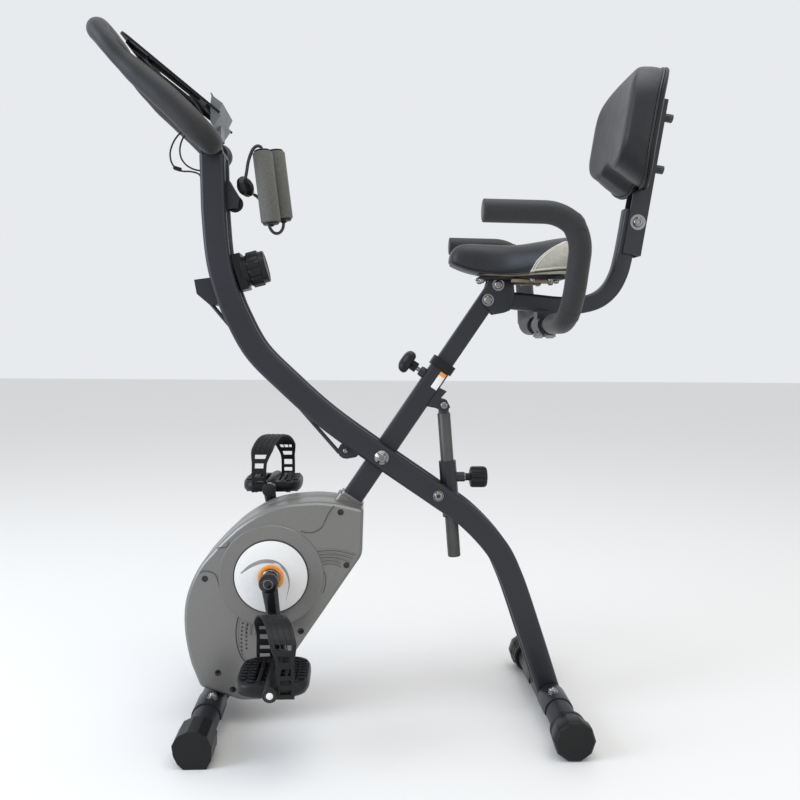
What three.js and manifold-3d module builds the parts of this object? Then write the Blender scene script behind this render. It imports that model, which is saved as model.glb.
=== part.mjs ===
// Folding upright exercise bike: twin curved rails crossed by a straight main post,
// belt-driven flywheel in a plastic housing, raised seat with backrest, and arm bands.
// Millimetres, +Z up, +X from the handlebar towards the backrest, -Y the rider's left.
// The origin is on the floor, under the middle of the whole bike.
import * as THREE from "three";
import { mergeVertices } from "three/addons/utils/BufferGeometryUtils.js";
import Module from "manifold-3d";

const wasm = await Module();
wasm.setup();

// ---- driving dimensions -------------------------------------------------------
const GAP = 0.3; // between pieces that touch
const BEND_STEPS = 3; // facets along a bend
const PIVOT = [-17.5, 445]; // X, Z of the bolt where rails and post cross
const POST_ANGLE = THREE.MathUtils.degToRad(56.2); // main post above the floor
const POST = { depth: 35, width: 25.4, wall: 2, bottom: -492, top: 178 };
const SEAT_POST = { depth: 30, width: 20, wall: 2, bottom: 70, top: 352 };
const RAIL = { depth: 40, width: 17, wall: 2, offset: 22 };
const RAIL_TOP = 935;
const STABILIZER = { radius: 22, half: 162, z: 31, frontX: -299, rearX: 276 };
const STABILIZER_SOCKET = STABILIZER.radius + GAP;
const CAP = { outer: 190, inner: 140, radius: 31, shell: 26 };
const CRANK = { x: -198.5, z: 251, length: 119.5, lean: THREE.MathUtils.degToRad(8.5) };
const CRANK_ARM = { inner: 80, outer: 95, width: 22 };
const PEDAL = { inner: 112, outer: 226, end: 238, length: 108, height: 20 };
const FLYWHEEL = { x: -262, z: 150, radius: 72, pulley: 15 };
const DRIVE_PULLEY_RADIUS = 78;
const BELT = { near: -28, far: -22, thickness: 2.5 };
const HOUSING = { half: 52, wall: 3 };
const DISC = { radius: 60, bore: 17 };
const STRUT = { radius: 11, sleeve: 14, length: 262 };
const STRUT_TOP = [87.3, 531];
const SLEEVE_BOLT = [77.7, 380.3];
const STRUT_LEAN = THREE.MathUtils.degToRad(4.9);
const HANDLE_TUBE = 12.5;
const FOAM_RADIUS = 16.5;
const BACK_LEAN = THREE.MathUtils.degToRad(8.66);
const BACK_FOOT = [415.6, 784]; // lowest rear corner of the backrest bracket, X and Z
const TENSION_ROOT = [-277, 742.5]; // where the tension unit's axis meets the rails
const TENSION_TILT = THREE.MathUtils.degToRad(15);

// centre line of the rails, X and Z, from the top end to the rear stabilizer
const RAIL_LINE = [
  [-294, RAIL_TOP], [-292, 850], [-284, 762], [-258, 682], [-205, 598], [-109, 511],
  [-17.5, 445], [77, 380], [130, 342], [183, 285], [214, 215], [243, 131], [276, 31],
];
// outline of the drive housing, X and Z, clockwise from the post's neck
const HOUSING_TOP = [
  [-316, 65], [-331, 105], [-341, 165], [-337.5, 215], [-317, 264.6], [-294, 293],
  [-271, 316.5], [-246, 338], [-197, 364.5], [-132.5, 374], [-90, 371], [-47, 361],
];
const HOUSING_REST = [[-49, 285], [-213, 42], [-224, 39.5], [-250, 41], [-292, 56]];

// ---- materials -------------------------------------------------------------------
const finish = (color, roughness, metalness) =>
  new THREE.MeshStandardMaterial({ color, roughness, metalness });
const MATERIAL = {
  frame: finish(0x22242a, 0.55, 0.3),
  steel: finish(0xb9bbbd, 0.3, 0.9),
  castIron: finish(0x55575a, 0.6, 0.7),
  black: finish(0x17181a, 0.6, 0),
  grey: finish(0x8b8f8f, 0.5, 0),
  housing: finish(0x76736f, 0.4, 0.2),
  disc: finish(0xe4e4e2, 0.35, 0),
  foam: finish(0x26282b, 0.9, 0),
  handleFoam: finish(0x7b7d78, 0.9, 0),
  leather: finish(0x2c2e33, 0.5, 0),
  rubber: finish(0x1b1c1e, 0.85, 0),
};

// ---- solids ----------------------------------------------------------------------
function toSolid(geometry) {
  const bare = geometry.clone();
  bare.deleteAttribute("normal");
  bare.deleteAttribute("uv");
  const merged = mergeVertices(bare, 1e-3);
  const at = merged.attributes.position;
  const index = merged.index.array;
  const triangles = [];
  const [a, b, c] = [new THREE.Vector3(), new THREE.Vector3(), new THREE.Vector3()];
  let volume = 0;
  for (let i = 0; i < index.length; i += 3) {
    const [p, q, r] = [index[i], index[i + 1], index[i + 2]];
    if (p === q || q === r || r === p) continue;
    triangles.push([p, q, r]);
    volume += a.fromBufferAttribute(at, p).dot(
      b.fromBufferAttribute(at, q).cross(c.fromBufferAttribute(at, r)));
  }
  const outward = volume > 0 ? triangles : triangles.map(([p, q, r]) => [p, r, q]);
  return new wasm.Manifold(new wasm.Mesh({
    numProp: 3,
    vertProperties: Float32Array.from(at.array),
    triVerts: Uint32Array.from(outward.flat()),
  }));
}

function toGeometry(solid) {
  const mesh = solid.getMesh();
  const geometry = new THREE.BufferGeometry();
  geometry.setAttribute("position", new THREE.BufferAttribute(mesh.vertProperties, 3));
  geometry.setIndex(new THREE.BufferAttribute(mesh.triVerts, 1));
  return geometry;
}

const join = (...solids) => solids.reduce((whole, next) => whole.add(next));
const cut = (solid, ...tools) => tools.reduce((left, tool) => left.subtract(tool), solid);

// A closed outline through [x, y] corners.
const outline = (points) => new THREE.Shape(points.map(([x, y]) => new THREE.Vector2(x, y)));

function roundedRect(width, height, radius) {
  const [w, h] = [width / 2, height / 2];
  const shape = new THREE.Shape();
  shape.moveTo(w, radius - h);
  shape.absarc(w - radius, h - radius, radius, 0, Math.PI / 2);
  shape.absarc(radius - w, h - radius, radius, Math.PI / 2, Math.PI);
  shape.absarc(radius - w, radius - h, radius, Math.PI, 1.5 * Math.PI);
  shape.absarc(w - radius, radius - h, radius, 1.5 * Math.PI, 2 * Math.PI);
  return shape;
}

function circle(radius, sides) {
  const step = (2 * Math.PI) / sides;
  return outline(Array.from({ length: sides }, (_, i) =>
    [radius * Math.cos(i * step), radius * Math.sin(i * step)]));
}

// A shape drawn in X and Z, filled between two Y planes.
function slab(shape, yLow, yHigh, curveSegments = 4) {
  const geometry = new THREE.ExtrudeGeometry(shape,
    { depth: yHigh - yLow, bevelEnabled: false, curveSegments });
  geometry.rotateX(Math.PI / 2);
  geometry.translate(0, yHigh, 0);
  return toSolid(geometry);
}

function box(xLow, xHigh, yLow, yHigh, zLow, zHigh) {
  const geometry = new THREE.BoxGeometry(xHigh - xLow, yHigh - yLow, zHigh - zLow);
  geometry.translate((xLow + xHigh) / 2, (yLow + yHigh) / 2, (zLow + zHigh) / 2);
  return toSolid(geometry);
}

// A shape swept along points or a curve; in the plane Y = constant its x runs along Y.
function sweep(path, shape, steps, curveSegments = 1) {
  const curve = Array.isArray(path)
    ? new THREE.CatmullRomCurve3(path.map((p) => new THREE.Vector3(...p)), false, "centripetal")
    : path;
  return toSolid(new THREE.ExtrudeGeometry(shape,
    { steps, extrudePath: curve, bevelEnabled: false, curveSegments }));
}

const inPlane = (points, y) => points.map(([x, z]) => [x, y, z]);

// A curve stepped through chosen stations, so that straight runs take a single step.
class Stations extends THREE.Curve {
  constructor(stations) {
    super();
    this.stations = stations;
  }

  getPointAt(u) {
    const place = u * (this.stations.length - 1);
    const low = Math.min(Math.floor(place), this.stations.length - 2);
    return this.stations[low].clone().lerp(this.stations[low + 1], place - low);
  }

  getTangentAt(u) {
    const last = this.stations.length - 1;
    const here = Math.round(u * last);
    return this.stations[Math.min(here + 1, last)].clone()
      .sub(this.stations[Math.max(here - 1, 0)]).normalize();
  }
}

// Straight runs joined by smooth bends of the given radius.
function bentPath(points, radius) {
  const v = points.map((p) => new THREE.Vector3(...p));
  const stations = [v[0]];
  for (let i = 1; i < v.length - 1; i += 1) {
    const back = v[i - 1].clone().sub(v[i]).setLength(radius).add(v[i]);
    const ahead = v[i + 1].clone().sub(v[i]).setLength(radius).add(v[i]);
    stations.push(...new THREE.QuadraticBezierCurve3(back, v[i], ahead).getPoints(BEND_STEPS));
  }
  return new Stations([...stations, v[v.length - 1]]);
}

const stationsOf = (points) => new Stations(points.map((p) => new THREE.Vector3(...p)));
const sweepStations = (path, shape, curveSegments) =>
  sweep(path, shape, path.stations.length - 1, curveSegments);

// A turned piece: [radius, distance] pairs about the line from a point along a direction.
function turned(profile, at, direction, segments = 14) {
  const geometry = new THREE.LatheGeometry(
    profile.map(([r, d]) => new THREE.Vector2(r, d)), segments);
  geometry.applyQuaternion(new THREE.Quaternion().setFromUnitVectors(
    new THREE.Vector3(0, 1, 0), new THREE.Vector3(...direction).normalize()));
  geometry.translate(...at);
  return toSolid(geometry);
}

function pin(from, to, radius, sides = 12) {
  const [a, b] = [new THREE.Vector3(...from), new THREE.Vector3(...to)];
  const along = b.clone().sub(a);
  const length = along.length();
  return turned([[0, 0], [radius, 0], [radius, length], [0, length]], from,
    along.toArray(), sides);
}

// A cylinder across the bike, centred on [x, z].
const across = ([x, z], radius, yLow, yHigh, sides = 12) =>
  pin([x, yLow, z], [x, yHigh, z], radius, sides);

// A turned piece across the bike; distances are Y.
const turnedAcross = ([x, z], profile, segments) =>
  turned(profile, [x, 0, z], [0, 1, 0], segments);

function mirrored(solid) {
  return solid.mirror([0, 1, 0]);
}

// ---- frames of reference ---------------------------------------------------------
const POST_ALONG = [Math.cos(POST_ANGLE), Math.sin(POST_ANGLE)];
const POST_ACROSS = [-POST_ALONG[1], POST_ALONG[0]]; // towards the handlebar side
function onPost(along, offset = 0) {
  return [PIVOT[0] + along * POST_ALONG[0] + offset * POST_ACROSS[0],
    PIVOT[1] + along * POST_ALONG[1] + offset * POST_ACROSS[1]];
}
const postSweep = (shape, from, to) =>
  sweep(inPlane([onPost(from), onPost(to)], 0), shape, 1);

function onBack(along, forward) {
  const [sin, cos] = [Math.sin(BACK_LEAN), Math.cos(BACK_LEAN)];
  return [BACK_FOOT[0] + along * sin - forward * cos, BACK_FOOT[1] + along * cos + forward * sin];
}

// ---- the exported assembly -------------------------------------------------------
const bike = new THREE.Group();
function add(name, solid, material) {
  const mesh = new THREE.Mesh(toGeometry(solid), material);
  mesh.name = name;
  bike.add(mesh);
  return solid;
}

// ---- main post and everything fixed to it ------------------------------------------
const FRONT = [STABILIZER.frontX, STABILIZER.z];
const REAR = [STABILIZER.rearX, STABILIZER.z];
const CRANK_AT = [CRANK.x, CRANK.z];
const FLYWHEEL_AT = [FLYWHEEL.x, FLYWHEEL.z];

function hollowSection(width, depth, radius, wall) {
  const shape = roundedRect(width, depth, radius);
  shape.holes.push(roundedRect(width - 2 * wall, depth - 2 * wall, radius - wall));
  return shape;
}

function webBetween(along, centre, halfWidth) {
  const [low, high] = [onPost(along - halfWidth, 10), onPost(along + halfWidth, 10)];
  const toward = [centre[0] - onPost(along)[0], centre[1] - onPost(along)[1]];
  const reach = (p) => [p[0] + toward[0] * 0.72, p[1] + toward[1] * 0.72];
  return slab(outline([low, high, reach(high), reach(low)]), -4, 4);
}

function mainPost() {
  const tube = postSweep(hollowSection(POST.width, POST.depth, 5, POST.wall),
    POST.bottom, POST.top);
  const crankShell = across(CRANK_AT, 19, -17, 17, 16);
  const flywheelShell = across(FLYWHEEL_AT, 12, -12, 12);
  const ears = slab(outline([onPost(112, -16), onPost(150, -16), onPost(152, -30),
    [82, 543], [92, 540], [98, 528], [90, 518], onPost(118, -30)]), -12.7, 12.7);
  const earSlot = box(60, 110, -11.4, 11.4, 500, 541);
  const knobBoss = pin3(onPost(156, 15.5), onPost(156, 27), 8);
  const body = join(tube, webBetween(-255, CRANK_AT, 16), webBetween(-381, FLYWHEEL_AT, 9),
    crankShell, flywheelShell, cut(ears, earSlot, postSweep(roundedRect(24, 33, 4), 90, 178)),
    knobBoss);
  return cut(body,
    across(CRANK_AT, 9.2, -30, 30),
    across(FLYWHEEL_AT, 6.6, -30, 30),
    across(PIVOT, 6.8, -30, 30),
    across(STRUT_TOP, 3.6, -30, 30, 12),
    pin3(onPost(156, 0), onPost(156, 40), 4.3),
    across(FRONT, STABILIZER_SOCKET, -30, 30, 20));
}

function pin3([x1, z1], [x2, z2], radius, sides = 12) {
  return pin([x1, 0, z1], [x2, 0, z2], radius, sides);
}

add("main_post", mainPost(), MATERIAL.frame);

function postCollar() {
  const sleeve = postSweep(roundedRect(32, 42, 7), 176, 192);
  return cut(sleeve, postSweep(roundedRect(POST.width + 2 * GAP, POST.depth + 2 * GAP, 5.3),
    160, POST.top + GAP), postSweep(roundedRect(21, 31, 3.5), 178, 200));
}
add("post_collar", postCollar(), MATERIAL.black);

function stabilizerTube(at) {
  const { radius, half } = STABILIZER;
  return turnedAcross(at, [[radius - 2.5, -half], [radius, -half], [radius, half],
    [radius - 2.5, half], [radius - 2.5, -half]], 20);
}
add("front_stabilizer", stabilizerTube(FRONT), MATERIAL.frame);

const WHEEL_AT = [STABILIZER.frontX - 13, 20.5];
const WHEEL = { radius: 17, near: -185, far: -167 };

function frontCap() {
  const [x] = FRONT;
  const body = slab(outline([[x + 19, 0], [x + 26, 14], [x + 27, 34], [x + 20, 50],
    [x + 7, 58], [x - 9, 58], [x - 24, 51], [x - 32, 37], [x - 30, 22], [x - 24, 9],
    [x - 15, 0]]), -CAP.outer, -CAP.inner);
  const socket = across(FRONT, STABILIZER_SOCKET, -STABILIZER.half - 2, 0, 20);
  const pocket = across(WHEEL_AT, WHEEL.radius + 1.2, WHEEL.near - 1, WHEEL.far + 1, 20);
  const mouth = box(x - 60, WHEEL_AT[0], WHEEL.near - 1, WHEEL.far + 1, -10, WHEEL_AT[1]);
  const stub = across(WHEEL_AT, 4, -CAP.outer + 1, -CAP.inner - 20, 14);
  return join(cut(body, socket, pocket, mouth), cut(stub, socket));
}
const frontCapNear = add("front_cap_near", frontCap(), MATERIAL.black);
add("front_cap_far", mirrored(frontCapNear), MATERIAL.black);

function transportWheel() {
  const { radius, near, far } = WHEEL;
  const bevel = 2;
  return turnedAcross(WHEEL_AT, [[4.4, near], [radius - bevel, near], [radius, near + bevel],
    [radius, far - bevel], [radius - bevel, far], [4.4, far], [4.4, near]], 16);
}
const wheelNear = add("transport_wheel_near", transportWheel(), MATERIAL.rubber);
add("transport_wheel_far", mirrored(wheelNear), MATERIAL.rubber);

// ---- drive housing -----------------------------------------------------------------
function housingOutline() {
  const shape = new THREE.Shape();
  shape.moveTo(...HOUSING_TOP[0]);
  shape.splineThru(HOUSING_TOP.slice(1).map(([x, z]) => new THREE.Vector2(x, z)));
  HOUSING_REST.forEach(([x, z]) => shape.lineTo(x, z));
  return shape;
}

function housingBlock(inset, half, round) {
  const geometry = new THREE.ExtrudeGeometry(housingOutline(), {
    depth: 2 * (half - round),
    bevelEnabled: true,
    bevelThickness: round,
    bevelSize: round,
    bevelOffset: -round - inset,
    bevelSegments: 1,
    curveSegments: 2,
  });
  geometry.rotateX(Math.PI / 2);
  geometry.translate(0, half - round, 0);
  return toSolid(geometry);
}

function housingShells() {
  const shell = cut(housingBlock(0, HOUSING.half, 4),
    housingBlock(HOUSING.wall, HOUSING.half - HOUSING.wall, 3),
    postSweep(roundedRect(POST.width + 1, POST.depth + 1, 5.5), -560, -20),
    across(CRANK_AT, 15, -80, 80, 24));
  const near = box(-500, 200, -100, -GAP / 2, -100, 600);
  const far = box(-500, 200, GAP / 2, 100, -100, 600);
  return [shell.intersect(near), shell.intersect(far)];
}
const [housingNear, housingFar] = housingShells();
add("housing_near", housingNear, MATERIAL.housing);
add("housing_far", housingFar, MATERIAL.housing);

function discCover() {
  const face = -HOUSING.half - GAP;
  const { radius, bore } = DISC;
  return turnedAcross(CRANK_AT, [[bore, face], [radius, face], [radius - 1, face - 2.5],
    [bore + 8, face - 7], [bore, face - 7], [bore, face]], 24);
}
const discNear = add("disc_cover_near", discCover(), MATERIAL.disc);
add("disc_cover_far", mirrored(discNear), MATERIAL.disc);

// ---- drive train -------------------------------------------------------------------
add("crank_axle", turnedAcross(CRANK_AT, [[0, -97], [7.5, -97], [8.5, -94], [8.5, 94],
  [7.5, 97], [0, 97]], 20), MATERIAL.steel);

function drivePulley() {
  const r = DRIVE_PULLEY_RADIUS;
  return turnedAcross(CRANK_AT, [[9.1, -31], [16, -31], [r - 8, -27], [r + 2, -29.5],
    [r, -28.5], [r, -21.5], [r + 2, -20.5], [r - 8, -23], [16, -19], [9.1, -19],
    [9.1, -31]], 28);
}
add("drive_pulley", drivePulley(), MATERIAL.black);

function crankArm(direction, side) {
  const { inner, outer, width } = CRANK_ARM;
  const end = [CRANK.x + direction * CRANK.length * Math.sin(CRANK.lean),
    CRANK.z - direction * CRANK.length * Math.cos(CRANK.lean)];
  const [lo, hi] = side < 0 ? [-outer, -inner] : [inner, outer];
  const normal = [Math.cos(CRANK.lean), direction * Math.sin(CRANK.lean)];
  const corner = (at, half) => [at[0] + normal[0] * half, at[1] + normal[1] * half];
  const bar = slab(outline([corner(CRANK_AT, -width / 2), corner(CRANK_AT, width / 2),
    corner(end, width / 2 - 2), corner(end, 2 - width / 2)]), lo + 1.5, hi - 1.5);
  const boss = across(CRANK_AT, 15, lo, hi, 24);
  const eye = across(end, 12, lo, hi, 20);
  const spindle = side < 0
    ? across(end, 6, -PEDAL.end + 10, -inner, 14)
    : across(end, 6, inner, PEDAL.end - 10, 14);
  return [cut(join(bar, boss, eye, spindle), across(CRANK_AT, 8.8, -120, 120)), end];
}
const [armNear, PEDAL_NEAR_AT] = crankArm(1, -1);
const [armFar, PEDAL_FAR_AT] = crankArm(-1, 1);
add("crank_arm_near", armNear, MATERIAL.black);
add("crank_arm_far", armFar, MATERIAL.black);

function pedal() {
  const { inner, outer, end, length, height } = PEDAL;
  const width = outer - inner;
  const middle = -(inner + outer) / 2;
  const geometry = new THREE.ExtrudeGeometry(roundedRect(length, width, 20),
    { depth: height - 4, bevelEnabled: true, bevelThickness: 2, bevelSize: 2,
      bevelOffset: -2, bevelSegments: 1, curveSegments: 1 });
  geometry.translate(0, middle, -(height - 4) / 2);
  const windows = [-30, 30].map((x) =>
    box(x - 13, x + 13, middle - 38, middle + 38, -height, height));
  const body = join(cut(toSolid(geometry), ...windows),
    across([0, 0], 13, -outer, -inner, 14), across([0, 0], 11, -end, -outer, 14));
  return cut(body, across([0, 0], 6.5, -PEDAL.end + 9, 0, 14));
}
const moved = (solid, [x, z]) => solid.translate([x, 0, z]);
add("pedal_near", moved(pedal(), PEDAL_NEAR_AT), MATERIAL.black);
add("pedal_far", moved(mirrored(pedal()), PEDAL_FAR_AT), MATERIAL.black);

// An arched strap over the foot, skewed so that its inner end is further forward.
function pedalStrap() {
  const middle = -(PEDAL.inner + PEDAL.outer) / 2;
  const half = (PEDAL.outer - PEDAL.inner) / 2 + 0.5;
  const arch = (radius, top) => {
    const points = [[-radius, -8], [-radius, 26]];
    for (let angle = 165; angle > 0; angle -= 15) {
      const turn = THREE.MathUtils.degToRad(angle);
      points.push([radius * Math.cos(turn), 26 + (top - 26) * Math.sin(turn)]);
    }
    return points.concat([[radius, 26], [radius, -8]]);
  };
  const band = outline([...arch(half + 2.6, 90), ...arch(half, 87.4).reverse()]);
  const width = 38;
  const geometry = new THREE.ExtrudeGeometry(band, { depth: width, bevelEnabled: false });
  geometry.rotateX(Math.PI / 2);
  geometry.rotateZ(Math.PI / 2);
  geometry.translate(-width / 2, middle, 0);
  const skew = new THREE.Matrix4().set(1, -0.36, 0, 0.36 * middle, 0, 1, 0, 0,
    0, 0, 1, 0, 0, 0, 0, 1);
  geometry.applyMatrix4(skew);
  return cut(toSolid(geometry), across([0, 0], 13.6, -300, 0, 16));
}
add("pedal_strap_near", moved(pedalStrap(), PEDAL_NEAR_AT), MATERIAL.rubber);
add("pedal_strap_far", moved(mirrored(pedalStrap()), PEDAL_FAR_AT), MATERIAL.rubber);

function flywheel() {
  const { radius, pulley } = FLYWHEEL;
  return turnedAcross(FLYWHEEL_AT, [[0, -34], [6, -34], [6, -30.5], [pulley + 2, -30.5],
    [pulley, -29], [pulley, -21], [pulley + 2, -19], [6, -18.5], [6, 18], [radius - 16, 24],
    [radius - 16, 18], [radius, 18], [radius, 36], [radius - 16, 36], [radius - 16, 30],
    [6, 36], [6, 42], [0, 42]], 22);
}
add("flywheel", flywheel(), MATERIAL.castIron);

// The belt hugs two pulleys: two arcs joined by their outer tangents.
function beltLoop(extra) {
  const [big, small] = [DRIVE_PULLEY_RADIUS + 1 + extra, FLYWHEEL.pulley + GAP + extra];
  const gap = [FLYWHEEL.x - CRANK.x, FLYWHEEL.z - CRANK.z];
  const heading = Math.atan2(gap[1], gap[0]);
  const spread = Math.acos((big - small) / Math.hypot(...gap));
  const shape = new THREE.Shape();
  shape.absarc(CRANK.x, CRANK.z, big, heading + spread, heading - spread + 2 * Math.PI);
  shape.absarc(FLYWHEEL.x, FLYWHEEL.z, small, heading - spread, heading + spread);
  return shape;
}
const beltOuter = slab(beltLoop(BELT.thickness), BELT.near, BELT.far, 10);
add("drive_belt", cut(beltOuter, slab(beltLoop(0), BELT.near - 5, BELT.far + 5, 10)),
  MATERIAL.rubber);

// Magnet yoke along part of the flywheel's rim, on its own pivot.
const MAGNET = { inner: 76, outer: 86, from: -95, to: -15 };
const degrees = THREE.MathUtils.degToRad;
function magnetYoke() {
  const rim = (radius, from, to, step) => {
    const points = [];
    for (let angle = from; step > 0 ? angle <= to : angle >= to; angle += step) {
      const turn = degrees(angle);
      points.push([FLYWHEEL.x + radius * Math.cos(turn), FLYWHEEL.z + radius * Math.sin(turn)]);
    }
    return points;
  };
  const { inner, outer, from, to } = MAGNET;
  return slab(outline([...rim(outer, from, to, 8), ...rim(inner, to, from, -8)]), 17, 37);
}
add("magnet_yoke", magnetYoke(), MATERIAL.steel);

// A clamping knob: stem, boss and lobed head along the X-Z direction given.
function lobedKnob([x, z], [dx, dz], stem, head, radius, lobes) {
  const shape = new THREE.Shape();
  const steps = lobes * 3;
  const points = Array.from({ length: steps }, (_, i) => {
    const turn = (2 * Math.PI * i) / steps;
    const r = radius * (0.9 + 0.1 * Math.cos(lobes * turn));
    return new THREE.Vector2(r * Math.cos(turn), r * Math.sin(turn));
  });
  shape.setFromPoints(points);
  const geometry = new THREE.ExtrudeGeometry(shape, { depth: head - 4, bevelEnabled: true,
    bevelThickness: 2, bevelSize: 2, bevelOffset: -2, bevelSegments: 1 });
  geometry.translate(0, 0, stem + 2);
  geometry.rotateX(-Math.PI / 2);
  geometry.applyQuaternion(new THREE.Quaternion().setFromUnitVectors(
    new THREE.Vector3(0, 1, 0), new THREE.Vector3(dx, 0, dz)));
  geometry.translate(x, 0, z);
  return toSolid(geometry);
}

const SEAT_KNOB_AT = onPost(156, 0);
add("seat_knob", join(
  lobedKnob(SEAT_KNOB_AT, POST_ACROSS, 43, 18, 21, 4),
  turned([[0, 16], [3.8, 16], [3.8, 30], [7, 30], [7, 45], [0, 45]],
    [SEAT_KNOB_AT[0], 0, SEAT_KNOB_AT[1]], [POST_ACROSS[0], 0, POST_ACROSS[1]], 16),
), MATERIAL.black);

// ---- rails and everything fixed to them ----------------------------------------------
function railSweep(extra, wall) {
  const shape = roundedRect(RAIL.width + 2 * extra, RAIL.depth + 2 * extra, 7);
  if (wall) {
    const [w, h] = [RAIL.width / 2 - wall, RAIL.depth / 2 - wall];
    shape.holes.push(outline([[w, 4 - h], [w, h - 4], [w - 4, h], [4 - w, h], [-w, h - 4],
      [-w, 4 - h], [4 - w, -h], [w - 4, -h]]));
  }
  return (y) => sweepStations(stationsOf(inPlane(RAIL_LINE, y)), shape, 1);
}

function rail() {
  return cut(railSweep(0, RAIL.wall)(-RAIL.offset),
    across(PIVOT, 6.8, -60, 0, 16),
    across(SLEEVE_BOLT, 4.3, -60, 0, 12),
    across(REAR, STABILIZER_SOCKET, -60, 0, 20));
}
const railNear = add("rail_near", rail(), MATERIAL.frame);
add("rail_far", mirrored(railNear), MATERIAL.frame);
const railRoom = railSweep(GAP, 0)(-RAIL.offset);
const bothRails = join(railRoom, mirrored(railRoom));

add("rear_stabilizer", stabilizerTube(REAR), MATERIAL.frame);

function rearCap() {
  const [x, z] = REAR;
  const face = new THREE.CylinderGeometry(CAP.radius / Math.cos(Math.PI / 10),
    CAP.radius / Math.cos(Math.PI / 10), 30, 10);
  face.rotateY(Math.PI / 10);
  face.translate(x, -CAP.outer + 15, z);
  const sleeve = turnedAcross(REAR, [[0, -162], [CAP.shell + 3, -162], [CAP.shell, -CAP.inner],
    [0, -CAP.inner]], 20);
  return cut(join(toSolid(face), sleeve),
    across(REAR, STABILIZER_SOCKET, -STABILIZER.half - 2, 0, 20));
}
const rearCapNear = add("rear_cap_near", rearCap(), MATERIAL.black);
add("rear_cap_far", mirrored(rearCapNear), MATERIAL.black);

const railFace = RAIL.offset + RAIL.width / 2 + GAP;
add("pivot_bolt", turnedAcross(PIVOT, [[0, -railFace - 6], [6, -railFace - 6],
  [12, -railFace - 2], [12, -railFace], [6.3, -railFace], [6.3, railFace], [12, railFace],
  [12, railFace + 2], [6, railFace + 6], [0, railFace + 6]], 14), MATERIAL.steel);

// ---- handlebar, grips, console -------------------------------------------------------
const BAR_HALF = [
  [-292, -30, 950], [-293, -58, 950], [-305, -80, 960], [-340, -88, 994], [-416, -86, 1061],
  [-444, -84, 1093], [-457, -68, 1110], [-459, -40, 1114], [-459, 0, 1114],
];
const acrossMiddle = (points) => [...points, ...points.slice(0, -1).reverse()
  .map(([x, y, z]) => [x, -y, z])];
const BAR_LOOP = acrossMiddle([[-292, 0, 950], ...BAR_HALF]);

const PULLEY_FRONT = [-305, 720];
const PULLEY_REAR = [-262, 862];

// Two cheeks with a pin between them, open on one side so that the band can run out.
function pulleyCheeks(points, at, room, [low, high]) {
  const slot = join(across(at, room, -6, 6, 20), box(low, high, -6, 6, at[1] - 40, at[1] + 40));
  return join(cut(slab(outline(points), -11, 11), slot), across(at, 2.8, -11, 11, 12));
}

function pulleyWheel(at, radius) {
  return turnedAcross(at, [[3.3, -4.5], [radius, -4.5], [radius - 3, 0], [radius, 4.5],
    [3.3, 4.5], [3.3, -4.5]], 18);
}

function handlebar() {
  const loop = BAR_LOOP.slice(0, -1).map((p) => new THREE.Vector3(...p));
  const curve = new THREE.CatmullRomCurve3(loop, true, "centripetal");
  const bar = toSolid(new THREE.ExtrudeGeometry(circle(8.5, 8),
    { steps: 32, extrudePath: curve, bevelEnabled: false }));
  const riser = slab(outline([[-308, 880], [-280, 880], [-277, 936], [-284, 958], [-300, 958],
    [-309, 936]]), -13, 13);
  const seatPlate = box(-310, -276, -30, 30, RAIL_TOP + 1, RAIL_TOP + 6);
  return join(bar, riser, seatPlate, pulleyCheeks([[-290, 893], [-268, 897], [-262, 886],
    [-252, 870], [-255, 853], [-290, 850]], PULLEY_REAR, 18, [-262, -230]));
}
add("handlebar", handlebar(), MATERIAL.frame);

// Radius of the foam along its length: full at the top bend, slim waist, full lower grip.
const GRIP_PROFILE = [
  [0, 16], [0.06, 19], [0.2, 20.5], [0.36, 20], [0.5, 17.5], [0.62, 13.4], [0.7, 12.4],
  [0.78, 15.5], [0.86, 18], [1, 18.5],
];

// Bends a turned sleeve so that its straight axis follows a curve.
function sleeveAlong(curve, profile, bore, segments) {
  const lathe = new THREE.LatheGeometry([
    ...profile.map(([t, r]) => new THREE.Vector2(r, t)),
    ...profile.map(([t]) => new THREE.Vector2(bore, t)).reverse(),
    new THREE.Vector2(profile[0][1], profile[0][0]),
  ], segments);
  const count = 80;
  const frames = curve.computeFrenetFrames(count, false);
  const at = lathe.attributes.position;
  const point = new THREE.Vector3();
  for (let i = 0; i < at.count; i += 1) {
    const t = THREE.MathUtils.clamp(at.getY(i), 0, 1);
    const k = Math.round(t * count);
    point.copy(curve.getPointAt(t))
      .addScaledVector(frames.normals[k], at.getX(i))
      .addScaledVector(frames.binormals[k], at.getZ(i));
    at.setXYZ(i, point.x, point.y, point.z);
  }
  return toSolid(lathe);
}

function grip() {
  const path = new THREE.CatmullRomCurve3(
    BAR_HALF.slice(1).map((p) => new THREE.Vector3(...p)), false, "centripetal");
  const profile = [];
  const rings = 14;
  for (let i = 0; i <= rings; i += 1) {
    const t = i / rings;
    const next = Math.max(1, GRIP_PROFILE.findIndex(([u]) => u >= t - 1e-9));
    const [u0, r0] = GRIP_PROFILE[next - 1];
    const [u1, r1] = GRIP_PROFILE[next];
    profile.push([t, THREE.MathUtils.lerp(r0, r1, (t - u0) / (u1 - u0))]);
  }
  return sleeveAlong(path, profile, 11, 10)
    .intersect(box(-600, 0, -200, -GAP / 2, 800, 1300));
}
const gripNear = add("grip_near", grip(), MATERIAL.foam);
add("grip_far", mirrored(gripNear), MATERIAL.foam);

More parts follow.
